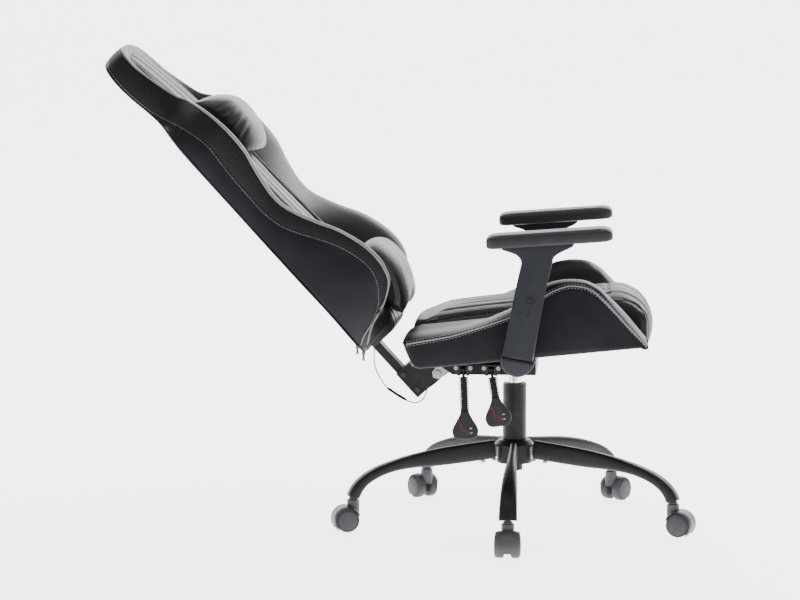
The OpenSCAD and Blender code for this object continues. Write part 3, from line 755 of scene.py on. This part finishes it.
REAR_RINGS = [  # size, depth towards the crown, and whether the ring lies on the inner face
    (0.02, 0, 1), (0.6, 0, 1), (0.97, 0, 1), (1.0, 0, 0), (0.985, 0.01, 0), (0.95, 0.05, 0),
    (0.88, 0.18, 0), (0.75, 0.5, 0), (0.6, 0.78, 0), (0.4, 0.94, 0), (0.2, 1, 0), (0.02, 1, 0),
]


def rear_cover():
    """Crowned rear cover, out to the side panels' rear edges."""
    right = [(v, -y, u) for v, y, u in COVER_EDGE]
    left = [(v, y, u) for v, y, u in COVER_EDGE[::-1][1:]]
    low = [(-54, y, 139 - 2 * (1 - abs(y) / 170)) for y in np.linspace(150, -150, 14)]
    loop = right + left + low
    rings = []
    for f, depth, front in REAR_RINGS:
        ring = []
        for v, y, u in loop:
            middle = min(max(u, 260), 820)
            w = -47 if front else v + (-70.5 - v) * depth
            ring.append(back_point(w, y * f, middle + (u - middle) * (0.35 + 0.65 * f) if f < 1 else u))
        rings.append(ring)
    cover = loft("back_rear_cover", rings, LEATHER, "back")
    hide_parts("back_shell")


SIDE_SEAM = 21 * EDGE_STEPS + 2  # station of the seam across the side panel


def backrest():
    for name, side in SIDES.items():
        rings = [bolster_ring(side, k) for k in range(STATIONS)]
        bolster = loft(f"back_bolster_{name}_cover", handed(side, rings), LEATHER, "back")
        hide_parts(f"back_bolster_{name}")
        seam = [on_side(side, junction(k)) for k in range(4 * EDGE_STEPS, STATIONS)]
        tube(f"panel_seam_{name}", evenly(seam, step=0.006), 0.0014, PIPING, "back")
        cover, rear = COVER_EDGE[SIDE_SEAM], REAR_EDGE[SIDE_SEAM]
        seam_rows = [cover + (rear - cover) * p for p in np.linspace(0, 1, 9)]
        line = [back_point(v, side * (y + 1.6), u) for v, y, u in seam_rows]
        tube(f"side_seam_{name}", line, 0.0011, SEAM, "back")
        tree = surface(bolster)
        run = spline([(66, 196), (54, 189), (37, 185), (21, 179), (6, 176), (-12, 173), (-34, 167),
                      (-52, 158)], 6)
        line = onto(tree, [back_point(v, side * 230, u) for v, u in run], (0, -side, 0), 0.0022)
        tube(f"flap_piping_{name}", line, 0.0012, PIPING, "back")
    side_band()
    front = round_edge(FRONT_EDGE, 0, 0.5, 1.2)
    tube("band_piping_front", evenly(front, step=0.006), 0.0017, PIPING, "back", sides=10)
    rear = round_edge(REAR_EDGE, 2, 0, 0.6)
    tube("band_piping_rear", evenly(rear, step=0.006), 0.0013, SEAM, "back")
    light = round_edge(REAR_EDGE, 2, -2.2, 1.2)
    stitches("band_stitches", [evenly(light, step=0.006)], THREAD, "back", radius=0.0004)
    edge = round_edge(COVER_EDGE, 0, -0.5, 0.6)
    tube("cover_piping", evenly(edge, step=0.006), 0.0015, SEAM, "back")
    panel = middle_panel()
    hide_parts("back_cushion")
    lines = []
    for y in CHANNELS:
        lines.append([back_point(panel_face(u) + 3 * (1 - (y / 134) ** 2) - 2.6, y, u)
                      for u in range(160, 880, 12)])
    stitches("panel_stitches", lines, THREAD, "back")
    rear_cover()


# ---------------------------------------------------------------- cushions

def inflated(verts, faces, voxel, pressure, cap):
    """Closed form swollen by a cloth simulation, no point by more than cap: its mesh, subdivided once."""
    scene = bpy.context.scene
    mesh = bpy.data.meshes.new("swelling")
    mesh.from_pydata([tuple(v) for v in verts], [], faces)
    ob = bpy.data.objects.new("swelling", mesh)
    scene.collection.objects.link(ob)
    modify(ob, "REMESH", mode="VOXEL", voxel_size=voxel)
    fine = bpy.data.meshes.new_from_object(ob.evaluated_get(bpy.context.evaluated_depsgraph_get()))
    ob.modifiers.clear()
    ob.data = fine
    count = len(fine.vertices)
    start = np.empty(count * 3)
    fine.vertices.foreach_get("co", start)
    start = start.reshape(-1, 3)
    cloth = modify(ob, "CLOTH")
    cloth.settings.quality = 5
    cloth.settings.mass = 0.3
    cloth.settings.tension_stiffness = 12
    cloth.settings.compression_stiffness = 12
    cloth.settings.shear_stiffness = 5
    cloth.settings.bending_stiffness = 0.6
    cloth.settings.use_pressure = True
    cloth.settings.uniform_pressure_force = pressure
    cloth.settings.effector_weights.gravity = 0
    for number in range(1, 21):
        scene.frame_set(number)
    swollen = ob.evaluated_get(bpy.context.evaluated_depsgraph_get()).data
    end = np.empty(count * 3)
    swollen.vertices.foreach_get("co", end)
    move = end.reshape(-1, 3) - start
    far = np.linalg.norm(move, axis=1, keepdims=True)
    move *= np.minimum(1, cap / np.maximum(far, 1e-9))
    ob.modifiers.clear()
    scene.frame_set(1)
    fine.vertices.foreach_set("co", (start + move).ravel())
    fine.update()
    modify(ob, "SMOOTH", factor=0.5, iterations=3)
    modify(ob, "SUBSURF", levels=1)
    done = bpy.data.meshes.new_from_object(ob.evaluated_get(bpy.context.evaluated_depsgraph_get()))
    bpy.data.objects.remove(ob)
    return done


def sculpted(name, mesh, shape, finish, body):
    """Piece from a mesh, each point moved by shape(point)."""
    co = np.empty(len(mesh.vertices) * 3)
    mesh.vertices.foreach_get("co", co)
    co = np.array([shape(p) for p in co.reshape(-1, 3)])
    mesh.vertices.foreach_set("co", co.ravel())
    mesh.update()
    mesh.materials.clear()
    mesh.materials.append(finish)
    for polygon in mesh.polygons:
        polygon.use_smooth = True
    ob = bpy.data.objects.new(name, mesh)
    bpy.context.scene.collection.objects.link(ob)
    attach(ob, body)
    return ob


def inset(outline, depth):
    """Closed outline moved inwards by depth, each point along its normal."""
    p = np.array(outline, float)
    along = np.roll(p, -1, axis=0) - np.roll(p, 1, axis=0)
    normal = np.stack([-along[:, 1], along[:, 0]], axis=1) / np.linalg.norm(along, axis=1, keepdims=True)
    area = np.sum(p[:, 0] * np.roll(p[:, 1], -1) - p[:, 1] * np.roll(p[:, 0], -1))
    return p + normal * depth * (1 if area > 0 else -1)


def surface(ob):
    return BVHTree.FromPolygons([v.co for v in ob.data.vertices],
                                [tuple(p.vertices) for p in ob.data.polygons])


def onto(tree, points, towards, lift):
    """Points dropped on a surface in a direction, then lifted off it."""
    towards = Vector(towards).normalized()
    out = []
    for p in points:
        hit, normal, _, _ = tree.ray_cast(Vector(p) - towards * 0.25, towards)
        if hit is None:
            hit, normal, _, _ = tree.find_nearest(Vector(p))
        out.append(hit - towards * lift)
    return out


def from_seat(co):
    """Seat frame's s, y, t in millimetres of a point in metres."""
    s, t = turned(co[0] / MM, co[2] / MM - SEAT_Z, -SEAT_TILT)
    return s, co[1] / MM, t


def from_back(co):
    """Backrest's v, y, u in millimetres of a point in metres."""
    v, u = turned(co[0] / MM - PIVOT[0], co[2] / MM - PIVOT[1], BACK_RISE - 90)
    return v, co[1] / MM, u


# ---------------------------------------------------------------- seat

SEAT_SIDE = [  # side view of the middle cushion
    (-184, 12), (-201, 27), (-209, 50), (-209, 66), (-202, 79), (-174, 91), (-60, 97), (120, 97),
    (226, 98), (256, 91), (274, 81), (286, 62), (291, 42), (291, 21), (285, -3), (279, -18), (271, -25),
    (266, -16), (264, 12),
]
SEAT_CHANNELS = (-132, -96, -58, -20, 20, 58, 96, 132)


def seat_cushion():
    outline = evenly(spline(SEAT_SIDE, 6), step=9, loop=True)
    rings = []
    for y, depth in ((-157, 13), (-154, 8), (-148, 3.5), (-138, 1), (-60, 0), (60, 0), (138, 1),
                     (148, 3.5), (154, 8), (157, 13)):
        rings.append([seat_point(p[0], y, p[1]) for p in inset(outline, depth)])
    verts, faces = skin(rings)
    mesh = inflated(verts, faces, 0.006, 3.5, 0.006)

    def shape(co):
        s, y, t = from_seat(co)
        y = max(-159.3, min(159.3, y))
        top = 1 if t > 30 or s > 262 or s < -180 else 0
        fall = max(0.0, (abs(y) - 45) / 115) ** 2
        s -= 9 * fall * max(0.0, min(1.0, (s - 225) / 40))
        t -= 23 * fall * max(0.0, min(1.0, (t - 40) / 40))
        dip = 0.0
        for groove in SEAT_CHANNELS:
            dip = max(dip, bell(y - groove, 5.5))
        dip *= 3.2 * top
        cross = bell(s - 205, 4) * 2.0 if t > 60 else 0
        away = np.array([s - 40, t - 40.0])
        if -150 < s < 215 and t > 40:
            away = np.array([0.0, 1.0])
        away /= max(np.linalg.norm(away), 1e-6)
        s -= away[0] * (dip + cross)
        t -= away[1] * (dip + cross)
        t += swell(4, s * 0.8, y, t, 1.2) if t > 60 else 0
        t = min(t, table([(-215, 70), (-202, 77), (-185, 81), (-168, 84), (-150, 91), (-128, 99),
                          (-60, 104)], s))
        return seat_point(s, y, t)

    cushion = sculpted("seat_cushion_cover", mesh, shape, PAINTED_LIT_PANEL, "seat")
    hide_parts("seat_cushion")
    tree = surface(cushion)
    lines = []
    for y in SEAT_CHANNELS:
        over = [seat_point(s, y, 130) for s in range(-185, 262, 8)]
        lines.append(onto(tree, over, seat_point(0, 0, 0) - seat_point(0, 0, 100), 0.0002))
    stitches("seat_stitches", lines, THREAD, "seat")
    run = inset(outline, 13)
    run = run[(run[:, 1] > 36) | (run[:, 0] > 255)]
    order = np.argsort(np.where(run[:, 0] < 255, run[:, 0], 400 - run[:, 1]))
    for name, side in SIDES.items():
        line = onto(tree, [seat_point(s, side * 170, t) for s, t in run[order]], (0, -side, 0), 0.0003)
        tube(f"nose_seam_{name}", evenly(line, step=0.006), 0.0013, SEAM, "seat")


SEAT_PIPING = spline([
    (-210, 49), (-201, 50), (-124, 56), (-86, 62), (-47, 70), (-9, 79), (11, 85), (45, 101), (82, 120),
    (102, 129), (128, 135), (154, 132), (169, 126), (186, 113), (203, 93), (223, 67), (243, 40),
    (263, 15), (275, 0),
], 6)
SEAT_CREST = spline([
    (-214, 56), (-206, 61), (-190, 65), (-124, 68), (-87, 72), (-40, 82), (-9, 92), (11, 99), (45, 119),
    (83, 140), (110, 146), (136, 146), (166, 140), (191, 124), (201, 113), (231, 76), (251, 47),
    (271, 17), (278, 2),
], 6)
SEAT_LOW = [(-214, 50), (-210, 34), (-205, 20), (-199, 6), (-192, -3), (-150, -4), (262, -4), (268, -8),
            (274, -9), (278, -6)]


# stations along the seat bolsters, close together at their ends
SEAT_STATIONS = [-214, -212, -209, -205, -200, -194, -186, *range(-178, 262, 5), 262, 266, 270, 273,
                 276, 278]


def seat_bolsters():
    for name, side in SIDES.items():
        rings = []
        for s in SEAT_STATIONS:
            crest = float(np.interp(s, SEAT_CREST[:, 0], SEAT_CREST[:, 1]))
            pipe = float(np.interp(s, SEAT_PIPING[:, 0], SEAT_PIPING[:, 1]))
            low = table(SEAT_LOW, s)
            inner = table([(-214, 58), (-206, 67), (-196, 73), (-180, 76), (40, 78), (200, 80),
                           (240, 60), (278, 1)], s)
            out = 255 - 10 * max(0, (-190 - s) / 24) ** 2 - 6 * max(0, (s - 262) / 16) ** 2
            peak = 0.5 + 0.5 * math.tanh((crest - 100) / 18)
            top = 214 + 10 * peak
            section = spline([
                (161, inner), (176, inner + 0.35 * (crest - inner)), (195, inner + 0.78 * (crest - inner)),
                (top, crest), (top + 20, crest - 0.16 * (crest - pipe) - 1),
                (out - 4, crest - 0.6 * (crest - pipe) - 1),
                (out, pipe),
            ], 5)
            ring = [(y, t) for y, t in section]
            for p in np.linspace(0, 1, 14)[1:]:
                t = pipe + (low + 3 - pipe) * p
                bulge = 0.018 * (pipe - low) * 4 * p * (1 - p)
                uneven = swell(5 * side, t, 200, s, 1.0) * min(1, 4 * p * (1 - p) + 0.1)
                ring.append((out + bulge + uneven, t))
            ring += [(out - 3, low + 0.5), (out - 8, low), (228, low), (226, max(low, 8)),
                     (194, max(low, 8.3)), (161, max(low, 8.3))]
            floor = max(low, 8.3)
            ring += [(161, floor + (inner - floor) * p) for p in (0.33, 0.66)]
            rings.append([seat_point(s, side * y, t) for y, t in ring])
        bolster = loft(f"seat_bolster_{name}_cover", rings, LEATHER, "seat")
        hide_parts(f"seat_bolster_{name}")
        line = [seat_point(s, side * 255.8, t) for s, t in SEAT_PIPING[5:]]
        tube(f"seat_piping_{name}", evenly(line, step=0.006), 0.0016, PIPING, "seat",
             sides=10)
        rows = []
        for drop in (4.5, -4.5):
            away = 255.6 if drop > 0 else 254.6
            rows.append([seat_point(s, side * away, t - drop) for s, t in SEAT_PIPING[5:]])
        stitches(f"seat_side_stitches_{name}", rows, THREAD, "seat")


# ---------------------------------------------------------------- pillows and straps

HEAD_SIDE = [
    (12, 608), (30, 598), (43, 598), (56, 610), (67, 632), (74, 656), (76, 684), (71, 711), (59, 731),
    (39, 749), (22, 763), (12, 770), (11, 720), (11, 660),
]
LUMBAR_SIDE = [
    (37, 147), (51, 146), (68, 160), (86, 188), (98, 220), (102, 252), (98, 282), (85, 299), (63, 307),
    (33, 306), (36, 270), (37, 220),
]


HEAD_MIDDLE = (16, 690)
LUMBAR_MIDDLE = (37, 228)


def drawn_in(middle, v, u, deep, long):
    """Point of a side view, drawn in towards the middle."""
    return middle[0] + (v - middle[0]) * deep, middle[1] + (u - middle[1]) * long


def pillow_form(side_view, half, middle, lower, shorter, power):
    """Closed form across the backrest: the side view, lower and shorter towards its ends."""
    outline = evenly(spline(side_view, 6, loop=True), step=7, loop=True)
    rings = []
    for q in np.sin(np.linspace(-math.pi / 2, math.pi / 2, 33)):
        flat, short = 1 - lower * abs(q) ** power, 1 - shorter * abs(q) ** power
        ring = [drawn_in(middle, v, u, flat, short) for v, u in outline]
        rings.append([back_point(v, q * half, u) for v, u in ring])
    return skin(rings)


def head_pillow():
    verts, faces = pillow_form(HEAD_SIDE, 126, HEAD_MIDDLE, 0.62, 0.16, 3.2)
    mesh = inflated(verts, faces, 0.0055, 4.0, 0.008)

    def shape(co):
        v, y, u = from_back(co)
        end = min(1.0, max(0.0, (abs(y) - 66) / 50))
        for k, (at, depth) in enumerate(((640, 4.5), (660, 6.0), (680, 5.5), (699, 4.5), (716, 3.0))):
            lean = (u - at) - (110 - abs(y)) * (0.28 - 0.10 * k)
            if v > 16:
                v -= depth * bell(lean, 5) * end
        v += swell(7, v, y, u, 2.2)
        return back_point(max(v, 10.5), max(-128, min(128, y)), u)

    pillow = sculpted("head_pillow_cover", mesh, shape, PILLOW, "back")
    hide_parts("head_pillow")
    tree = surface(pillow)
    for name, side in SIDES.items():
        edge = spline(HEAD_SIDE[1:11], 6)
        line = []
        for v, u in edge:
            v, u = drawn_in(HEAD_MIDDLE, v, u, 0.34, 0.84)
            p = back_point(v, side * 127, u)
            hit, normal, _, _ = tree.find_nearest(p)
            line.append(hit + normal * 0.0004)
        tube(f"head_pillow_seam_{name}", evenly(line, step=0.005), 0.0012, SEAM, "back")


def lumbar_pillow():
    verts, faces = pillow_form(LUMBAR_SIDE, 130, LUMBAR_MIDDLE, 0.34, 0.05, 6)
    mesh = inflated(verts, faces, 0.0055, 4.0, 0.008)

    def shape(co):
        v, y, u = from_back(co)
        v += swell(9, v, y, u, 2.0)
        return back_point(max(v, 35), max(-132, min(132, y)), u)

    pillow = sculpted("lumbar_pillow_cover", mesh, shape, PAINTED_LIT_PANEL, "back")
    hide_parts("lumbar_pillow")
    tree = surface(pillow)
    front = spline(LUMBAR_SIDE[1:10], 8)
    for name, side in SIDES.items():
        strips = []
        for size in (0.84, 0.74, 0.64):
            line = []
            for v, u in front:
                v, u = drawn_in(LUMBAR_MIDDLE, v, u, size, size)
                p = back_point(v, side * 200, u)
                hit, normal, _, _ = tree.ray_cast(p, Vector((0, -side, 0)))
                if hit is None:
                    hit, normal, _, _ = tree.find_nearest(p)
                line.append(hit + normal * 0.0006)
            strips.append(evenly(line, count=60))
        for k, row in ((0, strips[0]), (1, strips[2])):
            tube(f"lumbar_piping_{k + 1}_{name}", row, 0.0013, SEAM, "back")
        verts, uv = [], []
        for row_at, row in enumerate(strips):
            run = 0.0
            for k, p in enumerate(row):
                run += np.linalg.norm(p - row[k - 1]) if k else 0
                verts.append(tuple(p))
                uv.append((run, 0.009 * row_at))
        n = len(strips[0])
        faces = [(j * n + i, j * n + i + 1, (j + 1) * n + i + 1, (j + 1) * n + i) for j in range(2)
                 for i in range(n - 1)]
        strip = piece(f"lumbar_gusset_{name}", verts, faces, GUSSET, "back", uv=uv)
        modify(strip, "SOLIDIFY", thickness=0.0008, offset=0)


def straps():
    """Two elastic straps from under the head pillow down behind the lumbar pillow."""
    parts = []
    for side in (-1, 1):
        line = [(12.6, 612), (13.5, 560), (15.4, 500), (18.0, 450), (20.5, 400), (23.5, 350), (27.5, 312)]
        path = spline(line, 6)
        rings = []
        for v, u in path:
            ring = [(v - 0.7, -13), (v - 0.7, 13), (v + 0.5, 13.4), (v + 0.9, 12), (v + 0.9, -12),
                    (v + 0.5, -13.4)]
            rings.append([back_point(a, side * 96 + b, u) for a, b in ring])
        parts.append(skin(rings))
    straps_piece = merged("pillow_straps_webbing", parts, STRAP, "back", smooth=False)
    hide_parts("pillow_straps")


# ---------------------------------------------------------------- armrests

def outer_face(p):
    """Outer face across the sleeve: two facets meeting at a crease."""
    return 20 - (3.2 * (0.42 - p) / 0.42 if p < 0.42 else 2.2 * (p - 0.42) / 0.58)


def arm_sleeve(name, side):
    rows = [(arm_point(side, -31, 0, z), arm_point(side, 31, 0, z)) for z in (0.4, 1.4)]
    rows += [(arm_point(side, -31 + 0.02 * z, 0, z), arm_point(side, 31, 0, z)) for z in range(10, 160, 15)]
    for left, right in (((-59, -47), (3, -47.5)), ((-60, -41), (4, -43)), ((-62.5, -35.5), (7, -38.5)),
                        ((-68, -30), (13, -34)), ((-78, -25), (24, -29)), ((-90, -20.5), (36, -24.5)),
                        ((-95, -18.5), (44, -21)), ((-96, -16), (47, -18)), ((-96, -13.2), (47, -13.2))):
        rows.append((pad_point(side, left[0], 0, left[1]), pad_point(side, right[0], 0, right[1])))
    rings = []
    for at, (left, right) in enumerate(rows):
        shrink = 0.94 if at == 0 else 1
        ring = []
        for p in (0.02, 0.10, 0.20, 0.32, 0.40, 0.42, 0.44, 0.56, 0.70, 0.84, 0.94, 0.99):
            ring.append(left.lerp(right, p) + Vector((0, side * outer_face(p) * MM * shrink, 0)))
        ring += [right + Vector((0, side * y * MM, 0)) for y in (15, 6, -8, -16)]
        for p in (0.97, 0.90, 0.5, 0.10, 0.03):
            ring.append(left.lerp(right, p) + Vector((0, -side * 20 * MM * shrink, 0)))
        ring += [left + Vector((0, side * y * MM, 0)) for y in (-16, -8, 6, 14)]
        rings.append(ring)
    sleeve = loft(f"arm_sleeve_{name}_shell", handed(side, rings), ARM, f"arm_{name}")
    bevel(sleeve, 0.0012, 35)
    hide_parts(f"arm_sleeve_{name}")


BUTTON_X, BUTTON_Z = 4, 118
RIM_R = 10.2  # rim round the button


def arm_button(name, side):
    """Button and the raised rim round it."""
    rim = [(BUTTON_X + RIM_R * math.cos(a), BUTTON_Z + RIM_R * math.sin(a))
           for a in np.linspace(math.radians(-50), math.radians(230), 16)]
    rim += [(-2.2, 100), (0.5, 88), (4, 84), (7.5, 88), (10.2, 100)]
    line = [arm_point(side, x, -20.2 + 0.02 * abs(x - BUTTON_X), z) for x, z in spline(rim, 3, loop=True)]
    tube(f"button_recess_{name}", line, 0.0009, COVER, f"arm_{name}", loop=True)
    rings = []
    for y, r in ((-12.5, 7.6), (-20.6, 7.6), (-21.4, 7.0), (-21.6, 5.0), (-21.0, 2.4)):
        rings.append([arm_point(side, BUTTON_X + r * math.cos(a), y, BUTTON_Z + r * math.sin(a))
                      for a in angles(8, 0.5)])
    button = loft(f"arm_button_{name}_cap", handed(side, rings), BLACK_PLASTIC, f"button_{name}",
                  smooth=False)
    bevel(button, 0.0006, 30)
    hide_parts(f"arm_button_{name}")


def arm_cover(name, side):
    outline = evenly(spline([
        (-31, -1), (-32.5, -8), (-30, -16), (-24, -25), (-14, -32), (2, -35.5), (16, -32), (27, -23),
        (33.5, -12),
        (35, -4), (34, -1),
    ], 4), step=3, loop=True)
    rings = []
    for y, depth in ((-20.5, 4), (-20, 1.5), (-18, 0.3), (-10, 0), (20, 0), (26, 0.5), (28, 2.5),
                     (28.5, 5)):
        rings.append([arm_point(side, x, y, z) for x, z in inset(outline, depth)])
    cover = loft(f"arm_cover_{name}_shell", handed(side, rings), COVER, "seat")
    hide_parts(f"arm_cover_{name}")


PAD_RINGS = [  # place along the pad, how far its top drops, how much narrower it is
    (-125, 10, 15), (-124.3, 6.5, 10), (-122, 4, 6), (-118, 2, 2.6), (-112, 0.6, 0.8), (-100, 0, 0),
    (-40, 0, 0), (40, 0, 0), (100, 0, 0.3), (111, 0.8, 1.6), (117, 2.4, 3.6), (121.5, 5.5, 7),
    (124.2, 9, 11.5), (125, 12, 17),
]


def arm_pad(name, side):
    rings = []
    for x, drop, narrow in PAD_RINGS:
        w, top = 47 - narrow, 13.5 - drop
        low = -13.5 + drop * 0.45
        half = [(w * 0.4, top + 0.5), (w - 14, top), (w - 9.5, top - 0.6), (w - 2, min(8, top - 1.6)),
                (w, min(5, top - 3)), (w, low + 6), (w - 1.5, low + 2), (w - 5, low)]
        ring = [(-y, z) for y, z in half[::-1]] + [(0, top + 0.7)] + half + [(w * 0.5, low),
                                                                             (-w * 0.5, low)]
        rings.append([pad_point(side, x, y, z) for y, z in ring])
    pad = loft(f"arm_pad_{name}_cushion", handed(side, rings), PAD, f"arm_{name}")
    bevel(pad, 0.0012, 24)
    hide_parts(f"arm_pad_{name}")


def arm_parts():
    for name, side in SIDES.items():
        arm_sleeve(name, side)
        arm_button(name, side)
        arm_cover(name, side)
        arm_pad(name, side)


# ---------------------------------------------------------------- levers

def lever_sleeve(name, lever, length):
    """Ribbed rubber sleeve."""
    body = f"{name}_lever"
    rings, count = [], round(length / 5.2)
    for k in range(count + 1):
        for part, radius in ((0.0, 6.6), (0.12, 9.2), (0.35, 10.0), (0.58, 9.2), (0.72, 6.6)):
            z = -16.4 - (k + part) * (length - 0.4) / (count + 0.9)
            rings.append([lever_point(lever, radius * math.cos(a), radius * math.sin(a), z)
                          for a in angles(28)])
    sleeve = loft(f"{name}_lever_sleeve_rubber", rings, RUBBER, body)
    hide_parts(f"{name}_lever_sleeve")


def lever_paddle(name, lever, length, paddle):
    """Blade with a raised rim."""
    body = f"{name}_lever"
    top = -(16 + length)
    half = [(8, 0), (8.5, -5), (12, -14), (18, -25), (24, -35), (27, -44), (26, -53),
            (21, -paddle + 3.5), (12, -paddle + 0.4)]
    outline = half + [(-x, z) for x, z in half[::-1]]
    outline = evenly(spline(outline, 5, loop=True), step=2.5, loop=True)
    rings = []
    for y, depth in ((-5.5, 3.2), (-5.2, 1.4), (-3.8, 0.2), (0, 0), (3.8, 0.2), (5.2, 1.4), (5.5, 3.2)):
        rings.append([lever_point(lever, x, y, top + z) for x, z in inset(outline, depth)])
    blade = loft(f"{name}_lever_paddle_blade", rings, BLACK_PLASTIC, body)
    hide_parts(f"{name}_lever_paddle")
    edge = [lever_point(lever, x, -5.6, top + z) for x, z in inset(outline, 6)]
    tube(f"{name}_paddle_rim", edge, 0.0007, BLACK_PLASTIC, body, loop=True, sides=6)
    paddle_marks(name, lever, top)


def paddle_marks(name, lever, top):
    """A plain red line figure and two pale arrows, which say nothing."""
    body = f"{name}_lever"
    lean = 1 if name == "recline" else 0.25
    marks = [[(-9, -30), (-5, -43), (4, -43)], [(-9 - 4 * lean, -26), (-9, -30)], [(4, -43), (7, -51)]]
    parts = []
    for mark in marks:
        line = evenly([lever_point(lever, x, -5.7, top + z) for x, z in mark], step=0.002)
        parts.append(skin(tube_rings(line, 0.0007, 6)))
    head = [lever_point(lever, -10 - 4 * lean + 2.2 * math.cos(a), -5.7, top - 22 + 2.2 * math.sin(a))
            for a in np.linspace(0, 2 * math.pi, 10, endpoint=False)]
    parts.append(skin(tube_rings(head, 0.0009, 6, loop=True), line_loop=True))
    merged(f"{name}_paddle_figure", parts, RED_MARK, body)
    arrows = []
    for x, z, turn in ((12, -38, 1), (12, -50, -1)):
        arrow = [(x - 2.4, z - 2.4 * turn), (x, z), (x + 2.4, z - 2.4 * turn)]
        line = [lever_point(lever, a, -5.65, top + b) for a, b in arrow]
        arrows.append(skin(tube_rings(line, 0.0006, 6)))
    merged(f"{name}_paddle_arrows", arrows, PALE_MARK, body)


def lever_parts():
    for name, lever, length, paddle in (("lift", LIFT_LEVER, 40, 64), ("recline", RECLINE_LEVER, 68, 63)):
        lever_sleeve(name, lever, length)
        lever_paddle(name, lever, length, paddle)


# ---------------------------------------------------------------- base

LEG_DEPTH = [(0, 40), (115, 38), (185, 29), (235, 23), (300, 23), (350, 28)]
LEG_WIDTH = [(0, 16), (115, 20), (235, 31), (350, 38)]


def base_legs():
    depth, width = spline(LEG_DEPTH, 8), spline(LEG_WIDTH, 8)
    start, bend, knee, foot = (np.array(p, float) for p in ((30, 162), (190, 146), (340, 131), (351, 66)))
    line = [start + (bend - start) * t for t in np.linspace(0, 1, 12, endpoint=False)]
    line += [bend * (1 - t) ** 2 + knee * 2 * t * (1 - t) + foot * t * t for t in np.linspace(0, 0.965, 30)]
    line = [p for p in line if p[0] > 36]
    line = evenly(line, count=44)
    run = np.concatenate([[0], np.cumsum(np.linalg.norm(np.diff(line, axis=0), axis=1))])
    for i in range(1, 6):
        rings = []
        for k, p in enumerate(line):
            d = line[min(k + 1, len(line) - 1)] - line[max(k - 1, 0)]
            d /= np.linalg.norm(d)
            at = 6 + run[k]
            h, w = np.interp(at, depth[:, 0], depth[:, 1]) / 2, np.interp(at, width[:, 0], width[:, 1]) / 2
            ring = []
            for a in angles(28, 0.5):
                up = math.copysign(abs(math.sin(a)) ** 0.62, math.sin(a)) * h
                out = math.copysign(abs(math.cos(a)) ** 0.72, math.cos(a)) * w
                r, z = p[0] - d[1] * up, p[1] + d[0] * up
                ring.append(leg_point(i, r, out, max(70, z)))
            rings.append(ring)
        leg = loft(f"base_leg_{i}_tube", rings, STEEL, "base")
        bevel(leg, 0.0015, 50, segments=3)
        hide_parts(f"base_leg_{i}")


WHEEL_OUT, WHEEL_Z = 366, 25  # axle of the casters, at rest


def circle(i, r, w, sides=40):
    """Circle of radius r round the axle of caster i, w along it."""
    return [leg_point(i, WHEEL_OUT + r * math.cos(a), w, WHEEL_Z + r * math.sin(a)) for a in angles(sides)]


def caster_wheels():
    profile = [(6.5, 12), (6.6, 20), (7.6, 23.6), (10, 25), (15, 25), (20, 25), (23, 24.4), (24.2, 23.2),
               (24.4, 22), (23.4, 21.6), (23.4, 21), (25.4, 20.4), (26.2, 17), (26.8, 10), (27, 1)]
    for i in range(1, 6):
        parts = []
        for side in (-1, 1):
            rings = [circle(i, r, side * w) for w, r in profile]
            parts.append(skin(handed(side, rings)))
        parts.append(skin([circle(i, 3, w, sides=20) for w in (7, -7)]))
        wheels = merged(f"caster_wheel_pair_{i}", parts, TREAD, f"caster_wheels_{i}")
        bevel(wheels, 0.0004, 40)
        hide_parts(f"caster_wheels_{i}")


# ---------------------------------------------------------------- trim

def plate(point, outline, thickness, ease):
    """Flat plate square to Y round a point, from an outline in mm."""
    rings = []
    for y, depth in ((-thickness / 2, ease), (-thickness / 2 + ease, 0), (thickness / 2 - ease, 0),
                     (thickness / 2, ease)):
        rings.append([point + Vector((x * MM, y * MM, z * MM)) for x, z in inset(outline, depth)])
    return skin(rings)


def back_trim():
    parts = []
    for v, u in ((-59.5, 160), (-59, 142)):
        at = back_point(v, -204.5, u)
        body = [(-3, 4), (3, 4), (4, 0), (3.4, -4.5), (-3.4, -4.5), (-4, 0)]
        tab = [(-1.8, -3), (1.8, -3), (2.6, -9), (3.7, -15), (2.0, -17), (0.6, -15), (-0.6, -15),
               (-2.0, -17), (-3.7, -15), (-2.6, -9)]
        parts.append(plate(at, body, 5, 0.8))
        parts.append(plate(at + Vector((0, -2.6 * MM, 0)), tab, 1.4, 0.3))
    pulls = merged("zip_sliders", parts, ZIP, "back")
    bevel(pulls, 0.0002, 40, segments=1)
    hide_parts("zip_pulls")


# ---------------------------------------------------------------- build

look("camera", (0.19, -5.41, 1.045), 4.58, 6.0)
studio()
finish_cad_nodes()
lay_cord()
backrest()
seat_cushion()
seat_bolsters()
head_pillow()
lumbar_pillow()
straps()
arm_parts()
lever_parts()
base_legs()
caster_wheels()
back_trim()
